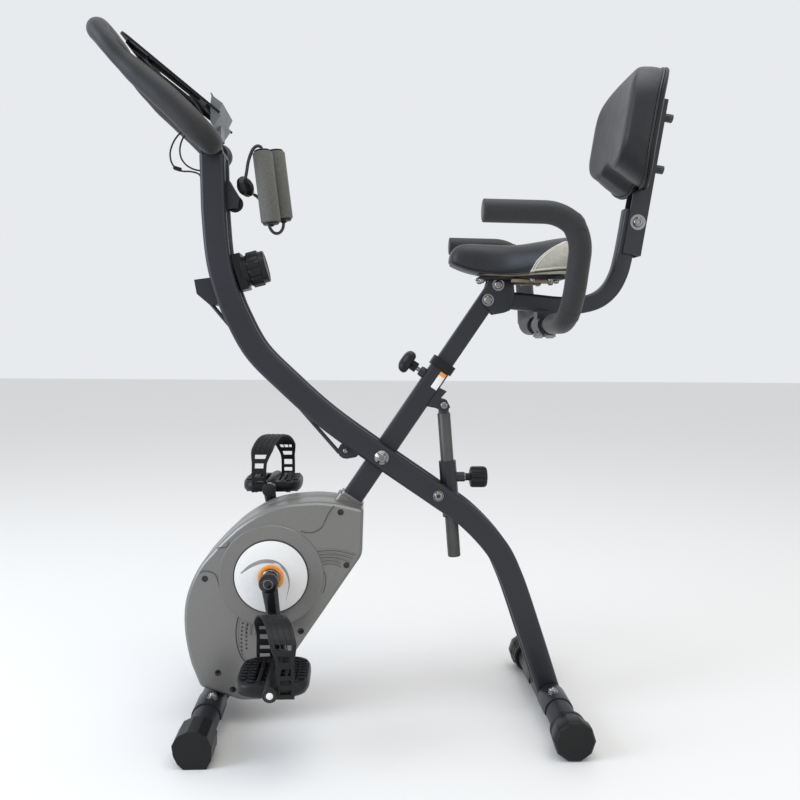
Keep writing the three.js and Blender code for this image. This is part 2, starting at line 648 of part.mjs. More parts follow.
function consoleBody() {
  const profile = [[-289, 1021.3], [-272, 1009], [-278, 996.5], [-275, 990], [-286, 974],
    [-291, 979], [-291, 1008]];
  const body = slab(outline(profile), -50, 50);
  const ledge = slab(outline([[-292, 1026], [-289.5, 1025.5], [-284, 1016], [-288, 1016]]),
    -46, 46);
  const foot = slab(outline([[-294, 962], [-280, 962], [-280, 985], [-289, 985]]), -18, 18);
  return join(body, ledge, cut(foot, box(-320, -270, -40, 40, 940, 961)));
}

// The mode button stands square to the console's sloping face, on the rider's right.
const BUTTON_AT = [-280, 34, 1014.8];
const BUTTON_OUT = [12.3, 0, 17];
const buttonRoom = turned([[0, -8], [5.6, -8], [5.6, 6], [0, 6]], BUTTON_AT, BUTTON_OUT, 16);
add("console", cut(consoleBody(), buttonRoom), MATERIAL.grey);
add("mode_button", turned([[0, -5.5], [5, -5.5], [5, 1.5], [4, 2.2], [0, 2.2]],
  BUTTON_AT, BUTTON_OUT, 16), MATERIAL.disc);

function tabletTray() {
  const [top, foot] = [[-421, 1101], [-276, 989.5]];
  const along = new THREE.Vector2(foot[0] - top[0], foot[1] - top[1]);
  const length = along.length();
  const half = 90;
  const plan = new THREE.Shape();
  plan.moveTo(0, 18 - half);
  plan.quadraticCurveTo(0, -half, 18, -half);
  plan.lineTo(length, -62);
  plan.lineTo(length, 62);
  plan.lineTo(18, half);
  plan.quadraticCurveTo(0, half, 0, half - 18);
  const plate = (shape, low, high) => {
    const geometry = new THREE.ExtrudeGeometry(shape,
      { depth: high - low, bevelEnabled: false });
    geometry.translate(0, 0, low);
    geometry.rotateY(-Math.atan2(along.y, along.x));
    geometry.translate(top[0], 0, top[1]);
    return toSolid(geometry);
  };
  const windows = [-1, 1].flatMap((side) => [[16, 46], [58, 104]].map(([from, to]) =>
    plate(outline([[from, side * 80], [to, side * 74], [to, side * 62],
      [from, side * 66]]), -5, 10)));
  return cut(plate(plan, 0, 4), ...windows,
    plate(outline([[30, -44], [120, -40], [120, 40], [30, 44]]), -5, 10));
}
add("tablet_tray", cut(tabletTray(), box(-292, -250, -60, 60, 940, 1030)), MATERIAL.black);

// ---- tension unit ---------------------------------------------------------------------
const TENSION_DIRECTION = [Math.cos(TENSION_TILT), 0, Math.sin(TENSION_TILT)];
const TENSION_AT = [TENSION_ROOT[0], 0, TENSION_ROOT[1]];

function tensionHousing() {
  const geometry = new THREE.BoxGeometry(30, 40, 60);
  geometry.translate(19, 0, 0);
  geometry.rotateY(-TENSION_TILT);
  geometry.translate(...TENSION_AT);
  const ring = turned([[0, 30], [25, 30], [25, 40], [0, 40]], TENSION_AT, TENSION_DIRECTION, 20);
  const bore = turned([[0, 22], [5.4, 22], [5.4, 50], [0, 50]], TENSION_AT,
    TENSION_DIRECTION, 16);
  return cut(join(toSolid(geometry), ring), bothRails, bore);
}
add("tension_housing", tensionHousing(), MATERIAL.black);

function tensionKnob() {
  const rim = Array.from({ length: 36 }, (_, i) => {
    const turn = (2 * Math.PI * i) / 36;
    const r = i % 3 ? 29.4 : 27;
    return [r * Math.cos(turn), r * Math.sin(turn)];
  });
  const geometry = new THREE.ExtrudeGeometry(outline(rim), { depth: 20, bevelEnabled: false });
  geometry.translate(0, 0, 40 + GAP);
  geometry.rotateX(-Math.PI / 2);
  geometry.applyQuaternion(new THREE.Quaternion().setFromUnitVectors(
    new THREE.Vector3(0, 1, 0), new THREE.Vector3(...TENSION_DIRECTION)));
  geometry.translate(...TENSION_AT);
  return join(toSolid(geometry),
    turned([[0, 24], [5, 24], [5, 50], [26.5, 50], [26.5, 67], [24, 70], [0, 70]],
      TENSION_AT, TENSION_DIRECTION, 18));
}
add("tension_knob", tensionKnob(), MATERIAL.black);

// ---- arm bands ------------------------------------------------------------------------
add("band_bracket_front", pulleyCheeks([[-327, 736], [-300, 740], [-276, 737], [-276, 712],
  [-292, 694], [-303, 696], [-323, 713]], PULLEY_FRONT, 19, [-340, -300]), MATERIAL.black);
add("band_pulley_front", pulleyWheel(PULLEY_FRONT, 13), MATERIAL.black);

add("band_pulley_rear", pulleyWheel(PULLEY_REAR, 14), MATERIAL.black);

add("band_guide_lower", slab(outline([[-98, 488], [-70, 470], [-62, 452], [-70, 440],
  [-84, 441], [-92, 456], [-108, 478]]), -11, 11), MATERIAL.black);

const STOPPER = [-244, 0, 889.5];
add("band_stopper", turned([[0, -9], [11, -9], [17, -3], [17.5, 3], [12, 8], [0, 9]],
  STOPPER, [0.8, -0.5, 0.35], 16), MATERIAL.black);

const HANDLE_A = [[-214.5, -18, 945], [-200, -18, 826]];
const HANDLE_B = [[-197.5, 16, 953], [-183, 16, 837]];

function bandHandle([top, foot]) {
  const [a, b] = [new THREE.Vector3(...top), new THREE.Vector3(...foot)];
  const along = b.clone().sub(a);
  const length = along.length();
  return turned([[5, 0], [13, 0], [13, 3], [16, 4], [16, length - 4], [13, length - 3],
    [13, length], [5, length], [5, 0]], top, along.toArray(), 12);
}
add("band_handle_a", bandHandle(HANDLE_A), MATERIAL.handleFoam);
add("band_handle_b", bandHandle(HANDLE_B), MATERIAL.handleFoam);

// Free cords: points chosen along each route, straight out of what holds them.
const ROPE_RADIUS = 2.6;
const BAND_ROPE_A = [
  [-242, -12, 902], [-239.5, -15, 913], [-237, -17, 926], [-233, -18, 938], [-228.5, -18, 947],
  [-222.5, -18, 951.5], [-217, -18, 950.5], [-214.6, -18, 946.5],
];
const BAND_ROPE_B = [
  [-230, 0, 877], [-226, 3, 875], [-221, 7, 870], [-216, 10, 862], [-212, 13, 848],
  [-208.5, 15, 835], [-205, 16, 824], [-198, 16, 817], [-190.5, 16, 817.5], [-185, 16, 824],
  [-182.8, 16, 834.5],
];
const cord = (points, radius, sides, steps) => sweep(points, circle(radius, sides), steps);
add("band_rope_a", cord(BAND_ROPE_A, ROPE_RADIUS, 8, 10), MATERIAL.rubber);
add("band_rope_b", cord(BAND_ROPE_B, ROPE_RADIUS, 8, 13), MATERIAL.rubber);

// ---- strut that locks the fold ----------------------------------------------------------
const STRUT_ALONG = [Math.sin(STRUT_LEAN), -Math.cos(STRUT_LEAN)];
const onStrut = (along) => [STRUT_TOP[0] + along * STRUT_ALONG[0],
  STRUT_TOP[1] + along * STRUT_ALONG[1]];

function strut() {
  const tube = pin3(onStrut(12), onStrut(STRUT.length), STRUT.radius, 14);
  const hollow = pin3(onStrut(24), onStrut(STRUT.length + 5), STRUT.radius - 2, 14);
  const lug = join(across(STRUT_TOP, 8, -8, 8, 16), slab(outline([
    [STRUT_TOP[0] - 8, STRUT_TOP[1]], [STRUT_TOP[0] + 8, STRUT_TOP[1]],
    [onStrut(20)[0] + 8, onStrut(20)[1]], [onStrut(20)[0] - 8, onStrut(20)[1]]]), -8, 8));
  const bolt = turnedAcross(STRUT_TOP, [[0, -17], [6, -17], [6, -13], [3.3, -13],
    [3.3, 13], [6, 13], [6, 17], [0, 17]], 10);
  return join(cut(tube, hollow), lug, bolt);
}
add("strut", strut(), MATERIAL.frame);

function strutSleeve() {
  const [from, to] = [onStrut(96), onStrut(192)];
  const outer = sweep(inPlane([from, to], 0), roundedRect(25, 29, 10), 1, 1);
  const bore = pin3(onStrut(80), onStrut(210), STRUT.radius + 0.8, 14);
  const lug = slab(outline([[SLEEVE_BOLT[0] - 9, SLEEVE_BOLT[1] + 9],
    [SLEEVE_BOLT[0] + 14, SLEEVE_BOLT[1] + 16], [SLEEVE_BOLT[0] + 14, SLEEVE_BOLT[1] - 16],
    [SLEEVE_BOLT[0] - 9, SLEEVE_BOLT[1] - 9]]), -12, 12);
  const boss = pin([onStrut(124)[0] + 12, 0, onStrut(124)[1]],
    [onStrut(124)[0] + 27, 0, onStrut(124)[1]], 8.5);
  const pinHole = pin([onStrut(124)[0], 0, onStrut(124)[1]],
    [onStrut(124)[0] + 40, 0, onStrut(124)[1]], 4.3, 14);
  const bolt = turnedAcross(SLEEVE_BOLT, [[0, -railFace - 5], [5, -railFace - 5],
    [8, -railFace - 2], [8, -railFace], [4, -railFace], [4, railFace], [8, railFace],
    [8, railFace + 2], [5, railFace + 5], [0, railFace + 5]], 10);
  return cut(join(outer, lug, boss, bolt), bore, pinHole);
}
add("strut_sleeve", strutSleeve(), MATERIAL.frame);

const STRUT_KNOB_AT = onStrut(124);
add("strut_knob", join(
  lobedKnob(STRUT_KNOB_AT, [1, 0], 36, 30, 18, 6),
  turned([[0, 12.5], [3.8, 12.5], [3.8, 28], [6, 28], [6, 38], [0, 38]],
    [STRUT_KNOB_AT[0], 0, STRUT_KNOB_AT[1]], [1, 0, 0], 16),
), MATERIAL.black);

// ---- seat, handles and backrest -----------------------------------------------------------
const seatPost = postSweep(hollowSection(SEAT_POST.width, SEAT_POST.depth, 3, SEAT_POST.wall),
  SEAT_POST.bottom, SEAT_POST.top);
add("seat_post", seatPost, MATERIAL.frame);

const BACK_TUBE_LINE = [
  [188, 709], [235, 705], [283, 701], [321, 702.5], [350, 712], [370, 730], [383, 755],
  [390, 783], [395, 811], [402.6, 861],
];
const BACK_TUBE = { depth: 29, width: 25 };

function backTube(extra) {
  const { depth, width } = BACK_TUBE;
  return sweepStations(stationsOf(inPlane(BACK_TUBE_LINE, 0)),
    roundedRect(width + 2 * extra, depth + 2 * extra, extra < 0 ? 3 : 5), 1);
}

function seatFrame() {
  const cheeks = slab(outline([[160, 742], [201, 742], [203, 726], [196, 690], [170, 684],
    [148, 706]]), -16.5, 16.5);
  const post = postSweep(roundedRect(SEAT_POST.width + 2 * GAP, SEAT_POST.depth + 2 * GAP, 3),
    SEAT_POST.bottom, SEAT_POST.top + GAP);
  return cut(join(cheeks, backTube(0)), post, backTube(-2));
}
add("seat_frame", seatFrame(), MATERIAL.frame);

function saddle() {
  const plan = new THREE.Shape();
  plan.moveTo(88, 0);
  const side = [[92, 18], [112, 27], [150, 34], [190, 50], [225, 84], [255, 106], [285, 111],
    [306, 92], [312, 50], [310, 0]];
  plan.splineThru(side.map(([x, y]) => new THREE.Vector2(x, y)));
  plan.splineThru(side.slice(0, -1).reverse().map(([x, y]) => new THREE.Vector2(x, -y))
    .concat(new THREE.Vector2(88, 0)));
  const geometry = new THREE.ExtrudeGeometry(plan, { depth: 36, bevelEnabled: true,
    bevelThickness: 14, bevelSize: 12, bevelOffset: -12, bevelSegments: 2, curveSegments: 1 });
  geometry.translate(0, 0, 758);
  const top = toSolid(geometry);
  return cut(top, box(0, 400, -200, 200, 700, 746));
}
add("saddle", saddle(), MATERIAL.leather);

const HANDLE_HALF = [
  [117, -211, 823], [234, -211, 822], [262, -208, 790], [262, -168, 700], [258, -142, 668],
  [258, 0, 668],
];
const HANDLE_LINE = [...HANDLE_HALF.slice(0, -1),
  ...HANDLE_HALF.slice(0, -1).reverse().map(([x, y, z]) => [x, -y, z])];

function handleBar() {
  const collar = across([258, 668], 17, -24, 24, 14);
  const block = box(243, 273, -12, 12, 674, 700);
  return join(sweepStations(bentPath(HANDLE_LINE, 24), circle(HANDLE_TUBE, 8)), collar,
    cut(block, backTube(GAP)));
}
add("handle_bar", handleBar(), MATERIAL.frame);

function handleFoam() {
  const ring = circle(FOAM_RADIUS + 0.6, 8);
  ring.holes.push(circle(13.9, 8));
  return sweepStations(bentPath(
    [[112, -211, 823], ...HANDLE_HALF.slice(1, -1), [258, -62, 668]], 24), ring);
}
const foamNear = add("handle_grip_near", handleFoam(), MATERIAL.foam);
add("handle_grip_far", mirrored(foamNear), MATERIAL.foam);

function backBracket() {
  const side = outline([onBack(0, 0), onBack(261, 0), onBack(261, 14), onBack(118, 14),
    onBack(100, 31), onBack(0, 31)]);
  const inside = outline([onBack(-5, 3), onBack(266, 3), onBack(266, 40), onBack(-5, 40)]);
  const bolt = (along) => turned([[0, -17], [7, -17], [7, 1], [0, 1]],
    [onBack(along, 0)[0], 0, onBack(along, 0)[1]],
    [-Math.cos(BACK_LEAN), 0, Math.sin(BACK_LEAN)], 10);
  return join(cut(slab(side, -16.5, 16.5), slab(inside, -13.5, 13.5)), bolt(150), bolt(236));
}
add("back_bracket", backBracket(), MATERIAL.frame);

// Curved pad: concave towards the rider, its board wrapping round the back.
function backPad(profile, from, to) {
  const geometry = new THREE.ExtrudeGeometry(outline(profile),
    { depth: to - from, bevelEnabled: false });
  geometry.rotateZ(Math.PI / 2);
  geometry.translate(0, 0, from);
  geometry.rotateY(BACK_LEAN);
  geometry.translate(BACK_FOOT[0], 0, BACK_FOOT[1]);
  return toSolid(geometry);
}
const wrap = (depth, edge, half) => Array.from({ length: 9 }, (_, i) => {
  const y = half * (i / 4 - 1);
  return [y, depth + (edge - depth) * (y / half) ** 2];
});
const BOARD = { back: 14.5, front: 22, wrapBack: 38, wrapFront: 45, half: 108 };
const bracketRoom = join(backPad([[-17, -5], [17, -5], [17, 15], [-17, 15]], 90, 275),
  backPad([[-17, -5], [17, -5], [17, 32], [-17, 32]], -10, 122));
const board = backPad([...wrap(BOARD.back, BOARD.wrapBack, BOARD.half),
  ...wrap(BOARD.front, BOARD.wrapFront, BOARD.half).reverse()], 112, 306);
add("back_board", cut(board, bracketRoom), MATERIAL.black);
const pad = backPad([...wrap(BOARD.front + GAP, BOARD.wrapFront + GAP, BOARD.half - 1),
  [96, 82], ...wrap(78, 89, 80).reverse(), [-96, 82]], 106, 304);
add("back_pad", cut(pad, bracketRoom), MATERIAL.leather);

// ---- console wires ---------------------------------------------------------------------
const WIRE_RADIUS = 1.4;
const WIRE_A = [
  [-338, -10, 978], [-343, -11, 974], [-351, -12, 966], [-359, -12, 953], [-363, -12, 938],
  [-361, -11, 924], [-354, -10, 915], [-344, -9, 911], [-333, -8, 911], [-322, -7, 909],
  [-314, -6, 905],
];
const WIRE_B = [
  [-336, 0, 977], [-341, 0, 972], [-347, 0, 961], [-350, 0, 947], [-348, 0, 934],
  [-341, 0, 924], [-332, 0, 918], [-323, 0, 915], [-314, 0, 914],
];
add("console_wire_a", cord(WIRE_A, WIRE_RADIUS, 8, 16), MATERIAL.black);
add("console_wire_b", cord(WIRE_B, WIRE_RADIUS, 8, 12), MATERIAL.black);

export default bike;
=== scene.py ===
import math

import bmesh
import bpy
from mathutils import Matrix, Vector


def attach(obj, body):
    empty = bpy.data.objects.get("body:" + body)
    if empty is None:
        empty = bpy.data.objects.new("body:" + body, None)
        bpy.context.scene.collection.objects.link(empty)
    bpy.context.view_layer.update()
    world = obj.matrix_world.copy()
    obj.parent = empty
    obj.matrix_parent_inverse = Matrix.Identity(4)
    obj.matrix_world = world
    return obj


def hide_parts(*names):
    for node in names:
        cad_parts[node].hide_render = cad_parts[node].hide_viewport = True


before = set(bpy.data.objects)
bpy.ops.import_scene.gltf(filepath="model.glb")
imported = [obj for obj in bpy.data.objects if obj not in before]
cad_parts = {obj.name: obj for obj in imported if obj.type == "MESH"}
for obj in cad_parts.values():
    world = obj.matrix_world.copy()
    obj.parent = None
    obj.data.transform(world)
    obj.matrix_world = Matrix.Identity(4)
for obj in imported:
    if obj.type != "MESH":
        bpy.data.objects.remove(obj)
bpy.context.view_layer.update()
MM = 0.001


# ---- small vector helpers, in millimetres ----
def vec(*p):
    return Vector(p if len(p) == 3 else p[0])


def spline(points, per=8, closed=False):
    """Points along a centripetal Catmull-Rom curve through the given ones."""
    pts = [vec(p) for p in points]
    n = len(pts)
    if closed:
        ring = [pts[-1]] + pts + [pts[0], pts[1]]
    else:
        ring = [2 * pts[0] - pts[1]] + pts + [2 * pts[-1] - pts[-2]]
    out = []
    for i in range(1, n + 1 if closed else n):
        p0, p1, p2, p3 = ring[i - 1 : i + 3]
        t = [0.0]
        for a, b in ((p0, p1), (p1, p2), (p2, p3)):
            t.append(t[-1] + max((b - a).length, 1e-6) ** 0.5)
        for k in range(per):
            u = t[1] + (t[2] - t[1]) * k / per
            a1 = p0.lerp(p1, (u - t[0]) / (t[1] - t[0]))
            a2 = p1.lerp(p2, (u - t[1]) / (t[2] - t[1]))
            a3 = p2.lerp(p3, (u - t[2]) / (t[3] - t[2]))
            b1 = a1.lerp(a2, (u - t[0]) / (t[2] - t[0]))
            b2 = a2.lerp(a3, (u - t[1]) / (t[3] - t[1]))
            out.append(b1.lerp(b2, (u - t[1]) / (t[2] - t[1])))
    if not closed:
        out.append(pts[-1])
    return out


def bent(points, radius, steps=12):
    """Straight runs joined by smooth bends."""
    v = [vec(p) for p in points]
    out = [v[0]]
    for i in range(1, len(v) - 1):
        back = v[i] + (v[i - 1] - v[i]).normalized() * radius
        ahead = v[i] + (v[i + 1] - v[i]).normalized() * radius
        for k in range(steps + 1):
            t = k / steps
            out.append(back * (1 - t) ** 2 + v[i] * 2 * t * (1 - t) + ahead * t * t)
    out.append(v[-1])
    return out


def even(path, step):
    """The same line with a point every step millimetres."""
    out = [path[0]]
    for a, b in zip(path, path[1:]):
        parts = max(1, round((b - a).length / step))
        out += [a.lerp(b, k / parts) for k in range(1, parts + 1)]
    return out


def in_plane(points, y):
    return [vec(x, y, z) for x, z in points]


def in_3d(place, y=0):
    """An (x, z) place as a point at a Y."""
    return vec(place[0], y, place[1])


def rounded_rect(width, height, radius, steps=5):
    out = []
    for cx, cy, a0 in ((1, 1, 0), (-1, 1, 90), (-1, -1, 180), (1, -1, 270)):
        for k in range(steps + 1):
            a = math.radians(a0 + 90 * k / steps)
            out.append((cx * (width / 2 - radius) + radius * math.cos(a),
                        cy * (height / 2 - radius) + radius * math.sin(a)))
    return out


def circle(radius, sides=28):
    return [(radius * math.cos(2 * math.pi * k / sides),
             radius * math.sin(2 * math.pi * k / sides)) for k in range(sides)]


# ---- meshes ----
def mark_edges(bm, angle):
    for edge in bm.edges:
        edge.smooth = len(edge.link_faces) == 2 and edge.calc_face_angle(0) < math.radians(angle)


def piece(name, bm, body, material, bevel=0, angle=40, segments=2):
    """Turns a bmesh in millimetres into a finished object that rides on a body."""
    bmesh.ops.remove_doubles(bm, verts=bm.verts, dist=1e-4)
    bmesh.ops.recalc_face_normals(bm, faces=bm.faces)
    if bevel:
        edges = [e for e in bm.edges
                 if len(e.link_faces) == 2 and e.calc_face_angle(0) > math.radians(30)]
        bmesh.ops.bevel(bm, geom=edges, offset=bevel, segments=segments, profile=0.6,
                        affect="EDGES", clamp_overlap=True)
    for f in bm.faces:
        f.smooth = True
    mark_edges(bm, angle)
    bmesh.ops.scale(bm, vec=(MM, MM, MM), verts=bm.verts)
    mesh = bpy.data.meshes.new(name)
    bm.to_mesh(mesh)
    bm.free()
    obj = bpy.data.objects.new(name, mesh)
    bpy.context.scene.collection.objects.link(obj)
    mats = material if isinstance(material, (list, tuple)) else [material]
    for m in mats:
        mesh.materials.append(m)
    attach(obj, body)
    return obj


def loft(rings, caps=True, closed=False):
    """A bmesh skin through rings of equal length, each a list of points."""
    bm = bmesh.new()
    rows = [[bm.verts.new(p) for p in ring] for ring in rings]
    count = len(rows[0])
    pairs = list(zip(rows, rows[1:])) + ([(rows[-1], rows[0])] if closed else [])
    for a, b in pairs:
        for i in range(count):
            j = (i + 1) % count
            bm.faces.new((a[i], a[j], b[j], b[i]))
    if caps and not closed:
        bm.faces.new(list(reversed(rows[0])))
        bm.faces.new(rows[-1])
    return bm


def frames_along(path, side, closed=False):
    """A tangent and two normals at every point, carried along without twisting."""
    n = len(path)
    out = []
    normal = vec(side)
    for i, p in enumerate(path):
        if closed:
            t = (path[(i + 1) % n] - path[i - 1]).normalized()
        else:
            t = (path[min(i + 1, n - 1)] - path[max(i - 1, 0)]).normalized()
        normal = (normal - t * normal.dot(t)).normalized()
        out.append((p, normal, t.cross(normal).normalized()))
    return out


def sweep_mesh(path, section, side=(0, 1, 0), scale=None, closed=False, round_ends=0):
    """A bmesh of a section carried along a path. scale(t) sizes it along the way."""
    rings = []
    n = len(path)
    for i, (p, a, b) in enumerate(frames_along(path, side, closed)):
        s = scale(i / (n - 1)) if scale else 1
        rings.append([p + (a * x + b * y) * s for x, y in section])
    if round_ends and not closed:
        rings = rounded_ends(rings, path, round_ends)
    return loft(rings, caps=True, closed=closed)


def rounded_ends(rings, path, radius):
    """Adds shrinking rings so that an end is domed over."""

    def dome(ring, centre, out_dir):
        size = max((p - centre).length for p in ring)
        added = []
        for k in range(1, 5):
            a = math.radians(22.5 * k * 0.97)
            shrink = (size - radius * (1 - math.cos(a))) / size
            added.append([centre + (p - centre) * shrink + out_dir * radius * math.sin(a)
                          for p in ring])
        return added

    first = (path[0] - path[1]).normalized()
    last = (path[-1] - path[-2]).normalized()
    return (list(reversed(dome(rings[0], path[0], first))) + rings
            + dome(rings[-1], path[-1], last))


def sweep(name, path, section, body, material, side=(0, 1, 0), scale=None, closed=False,
          round_ends=0):
    bm = sweep_mesh(path, section, side, scale, closed, round_ends)
    return piece(name, bm, body, material)


def lathe_mesh(profile, at=(0, 0, 0), axis=(0, 1, 0), sides=64, wave=None):
    """Spins (radius, distance) pairs about the line from a point along an axis."""
    turn = vec(axis).normalized()
    a = turn.orthogonal().normalized()
    b = turn.cross(a)
    bm = bmesh.new()
    rows = []
    for r, d in profile:
        centre = vec(at) + turn * d
        if r <= 1e-6:
            rows.append([bm.verts.new(centre)] * sides)
            continue
        row = []
        for k in range(sides):
            angle = 2 * math.pi * k / sides
            rr = wave(r, d, angle) if wave else r
            row.append(bm.verts.new(centre + a * rr * math.cos(angle) + b * rr * math.sin(angle)))
        rows.append(row)
    for low, high in zip(rows, rows[1:]):
        for k in range(sides):
            j = (k + 1) % sides
            corners = []
            for v in (low[k], low[j], high[j], high[k]):
                if v not in corners:
                    corners.append(v)
            if len(corners) > 2:
                bm.faces.new(corners)
    return bm


def lathe(name, profile, at, axis, body, material, sides=64, wave=None, angle=40):
    return piece(name, lathe_mesh(profile, at, axis, sides, wave), body, material, angle=angle)


def prism_mesh(points, y0, y1):
    """A bmesh of an XZ outline between two Y planes."""
    bm = bmesh.new()
    low = [bm.verts.new((x, y0, z)) for x, z in points]
    high = [bm.verts.new((x, y1, z)) for x, z in points]
    bm.faces.new(low)
    bm.faces.new(list(reversed(high)))
    for i in range(len(points)):
        j = (i + 1) % len(points)
        bm.faces.new((low[i], high[i], high[j], low[j]))
    return bm


def prism(name, points, y0, y1, body, material, bevel=1.0):
    return piece(name, prism_mesh(points, y0, y1), body, material, bevel)


def join_into(bm, other):
    """Copies another bmesh's geometry into bm and frees it."""
    made = {v: bm.verts.new(v.co) for v in other.verts}
    for f in other.faces:
        bm.faces.new([made[v] for v in f.verts])
    other.free()
    return bm


def tilt(along, up):
    """A turn that takes X to along and Z to up."""
    return Matrix((along, Vector((0, 1, 0)), up)).transposed().to_4x4()


def block(centre, size, turn=None):
    """A box bmesh, optionally turned by a matrix about its centre."""
    bm = bmesh.new()
    bmesh.ops.create_cube(bm, size=1)
    bmesh.ops.scale(bm, vec=size, verts=bm.verts)
    if turn:
        bmesh.ops.transform(bm, matrix=turn, verts=bm.verts)
    bmesh.ops.translate(bm, vec=centre, verts=bm.verts)
    return bm


# ---- materials ----
def material(name, slot, color, rough, metal=0.0, grain=None, mottle=(6, 0.12),
             rough_spread=0.08, coat=0.0, sheen=0.0, cells=None, weave=None, scuff=0.0,
             spec=0.4):
    """A procedural finish: colour that varies a little, roughness that varies, and a bump."""
    mat = bpy.data.materials.new(name)
    mat["slot"] = slot
    mat.use_nodes = True
    nodes, links = mat.node_tree.nodes, mat.node_tree.links
    bsdf = nodes["Principled BSDF"]

    def feed(socket, value):
        # a socket takes another node's output, or a plain value
        if isinstance(value, bpy.types.NodeSocket):
            links.new(value, socket)
        else:
            socket.default_value = value

    def add(kind, settings=(), **inputs):
        node = nodes.new("ShaderNode" + kind)
        for key, value in settings:
            setattr(node, key, value)
        for key, value in inputs.items():
            feed(node.inputs[key], value)
        return node

    def noise(scale, detail=3.0, distortion=0.0):
        return add("TexNoise", Vector=place, Scale=scale, Detail=detail,
                   Distortion=distortion).outputs["Fac"]

    def ramp(source, low, high, start=0.3, end=0.7):
        node = add("ValToRGB", Fac=source)
        for element, at, shade in zip(node.color_ramp.elements, (start, end), (low, high)):
            element.position = at
            element.color = (*shade, 1)
        return node.outputs["Color"]

    def mix(factor, first, second, blend="MIX"):
        node = add("Mix", (("data_type", "RGBA"), ("blend_type", blend)), Factor=factor)
        feed(node.inputs[6], first)
        feed(node.inputs[7], second)
        return node.outputs[2]

    for key, value in (("Metallic", metal), ("Specular IOR Level", spec), ("Coat Weight", coat),
                       ("Coat Roughness", 0.15), ("Sheen Weight", sheen),
                       ("Sheen Roughness", 0.5)):
        bsdf.inputs[key].default_value = value
    place = nodes.new("ShaderNodeTexCoord").outputs["Object"]
    scale, amount = mottle
    tint = ramp(noise(scale, 5.0), [c * (1 - amount) for c in color],
                [min(1, c * (1 + amount)) for c in color])
    if scuff:
        speck = ramp(noise(45, 6.0, 1.5), (0, 0, 0), (scuff,) * 3, 0.58, 0.75)
        tint = mix(speck, tint, (*[min(1, c * 1.6 + 0.05) for c in color], 1))
    height = None
    if cells:
        size, depth = cells
        shake = add("TexNoise", Vector=place, Scale=size * 0.4).outputs["Color"]
        small = add("VectorMath", (("operation", "SCALE"),), Scale=0.6 / size)
        feed(small.inputs[0], shake)
        warp = add("VectorMath", (("operation", "ADD"),))
        feed(warp.inputs[0], place)
        feed(warp.inputs[1], small.outputs["Vector"])
        cell = add("TexVoronoi", (("feature", "DISTANCE_TO_EDGE"),), Scale=size,
                   Vector=warp.outputs["Vector"])
        edge = ramp(cell.outputs["Distance"], (0, 0, 0), (1, 1, 1), 0.0, 0.22)
        height = (edge, depth)
        tint = mix(0.45, tint, edge, "MULTIPLY")
    if weave:
        size, depth = weave
        both = add("Math", (("operation", "MULTIPLY"),))
        for k, direction in enumerate(("X", "Z")):
            wave = add("TexWave", (("bands_direction", direction),), Scale=size,
                       Distortion=0.6, Vector=place)
            feed(both.inputs[k], wave.outputs["Fac"])
        height = (both.outputs["Value"], depth)
        shade = ramp(both.outputs["Value"], (0.45,) * 3, (1, 1, 1), 0.0, 0.6)
        tint = mix(0.5, tint, shade, "MULTIPLY")
    feed(bsdf.inputs["Base Color"], tint)
    spread = add("MapRange", Value=noise(scale * 3.1, 4.0))
    spread.inputs["To Min"].default_value = max(0.02, rough - rough_spread)
    spread.inputs["To Max"].default_value = min(1.0, rough + rough_spread)
    feed(bsdf.inputs["Roughness"], spread.outputs["Result"])
    last = None
    for source, depth in [h for h in (height, grain and (noise(grain[0], 2.0), grain[1])) if h]:
        bump = add("Bump", Strength=0.6, Distance=depth * MM, Height=source)
        if last:
            feed(bump.inputs["Normal"], last)
        last = bump.outputs["Normal"]
    if last:
        feed(bsdf.inputs["Normal"], last)
    return mat


PAINT = material("powder_coat", "frame_paint", (0.0125, 0.0135, 0.018), 0.40,
                 grain=(900, 0.10), mottle=(9, 0.18), coat=0.05, scuff=0.02)
GUNMETAL = material("grey_powder_coat", "frame_paint", (0.065, 0.064, 0.060), 0.42, 0.3,
                    grain=(900, 0.10), mottle=(12, 0.15), scuff=0.05)
PLASTIC = material("black_moulding", "black_plastic", (0.0055, 0.0055, 0.0060), 0.40,
                   grain=(1500, 0.10), mottle=(14, 0.2), scuff=0.02, spec=0.28)
GLOSSY = material("black_gloss", "black_plastic", (0.006, 0.006, 0.0065), 0.22,
                  grain=(500, 0.03), mottle=(20, 0.15), coat=0.2)
HOUSING = material("metallic_shell", "housing_plastic", (0.185, 0.180, 0.170), 0.36, 0.45,
                   grain=(2600, 0.05), mottle=(1400, 0.22), rough_spread=0.05, coat=0.2)
# near-black housing colour, painted as shade in grooves, slots, holes and beside beads and ridges
PAINTED_SHADE_LINE = material("painted_groove_shade", "housing_plastic", (0.030, 0.029, 0.027), 0.6, 0.1,
                     grain=(900, 0.05))
WHITE = material("white_moulding", "disc_plastic", (0.74, 0.73, 0.71), 0.28,
                 grain=(1200, 0.03), mottle=(8, 0.03), coat=0.25)
GREY_MARK = material("grey_swoosh", "disc_plastic", (0.26, 0.25, 0.24), 0.4,
                     grain=(1200, 0.03), mottle=(30, 0.1))
ORANGE = material("orange_ring", "disc_plastic", (0.78, 0.29, 0.05), 0.32,
                  grain=(1400, 0.03), mottle=(25, 0.08), coat=0.2)
CONSOLE = material("console_shell", "console_plastic", (0.16, 0.17, 0.175), 0.38, 0.1,
                   grain=(1600, 0.06), mottle=(18, 0.08))
GLASS = material("display_window", "black_plastic", (0.008, 0.010, 0.010), 0.08,
                 grain=(200, 0.01), mottle=(40, 0.2), coat=0.5)
STEEL = material("zinc_steel", "steel", (0.25, 0.245, 0.24), 0.22, 1.0, grain=(350, 0.015),
                 mottle=(25, 0.08), rough_spread=0.05)
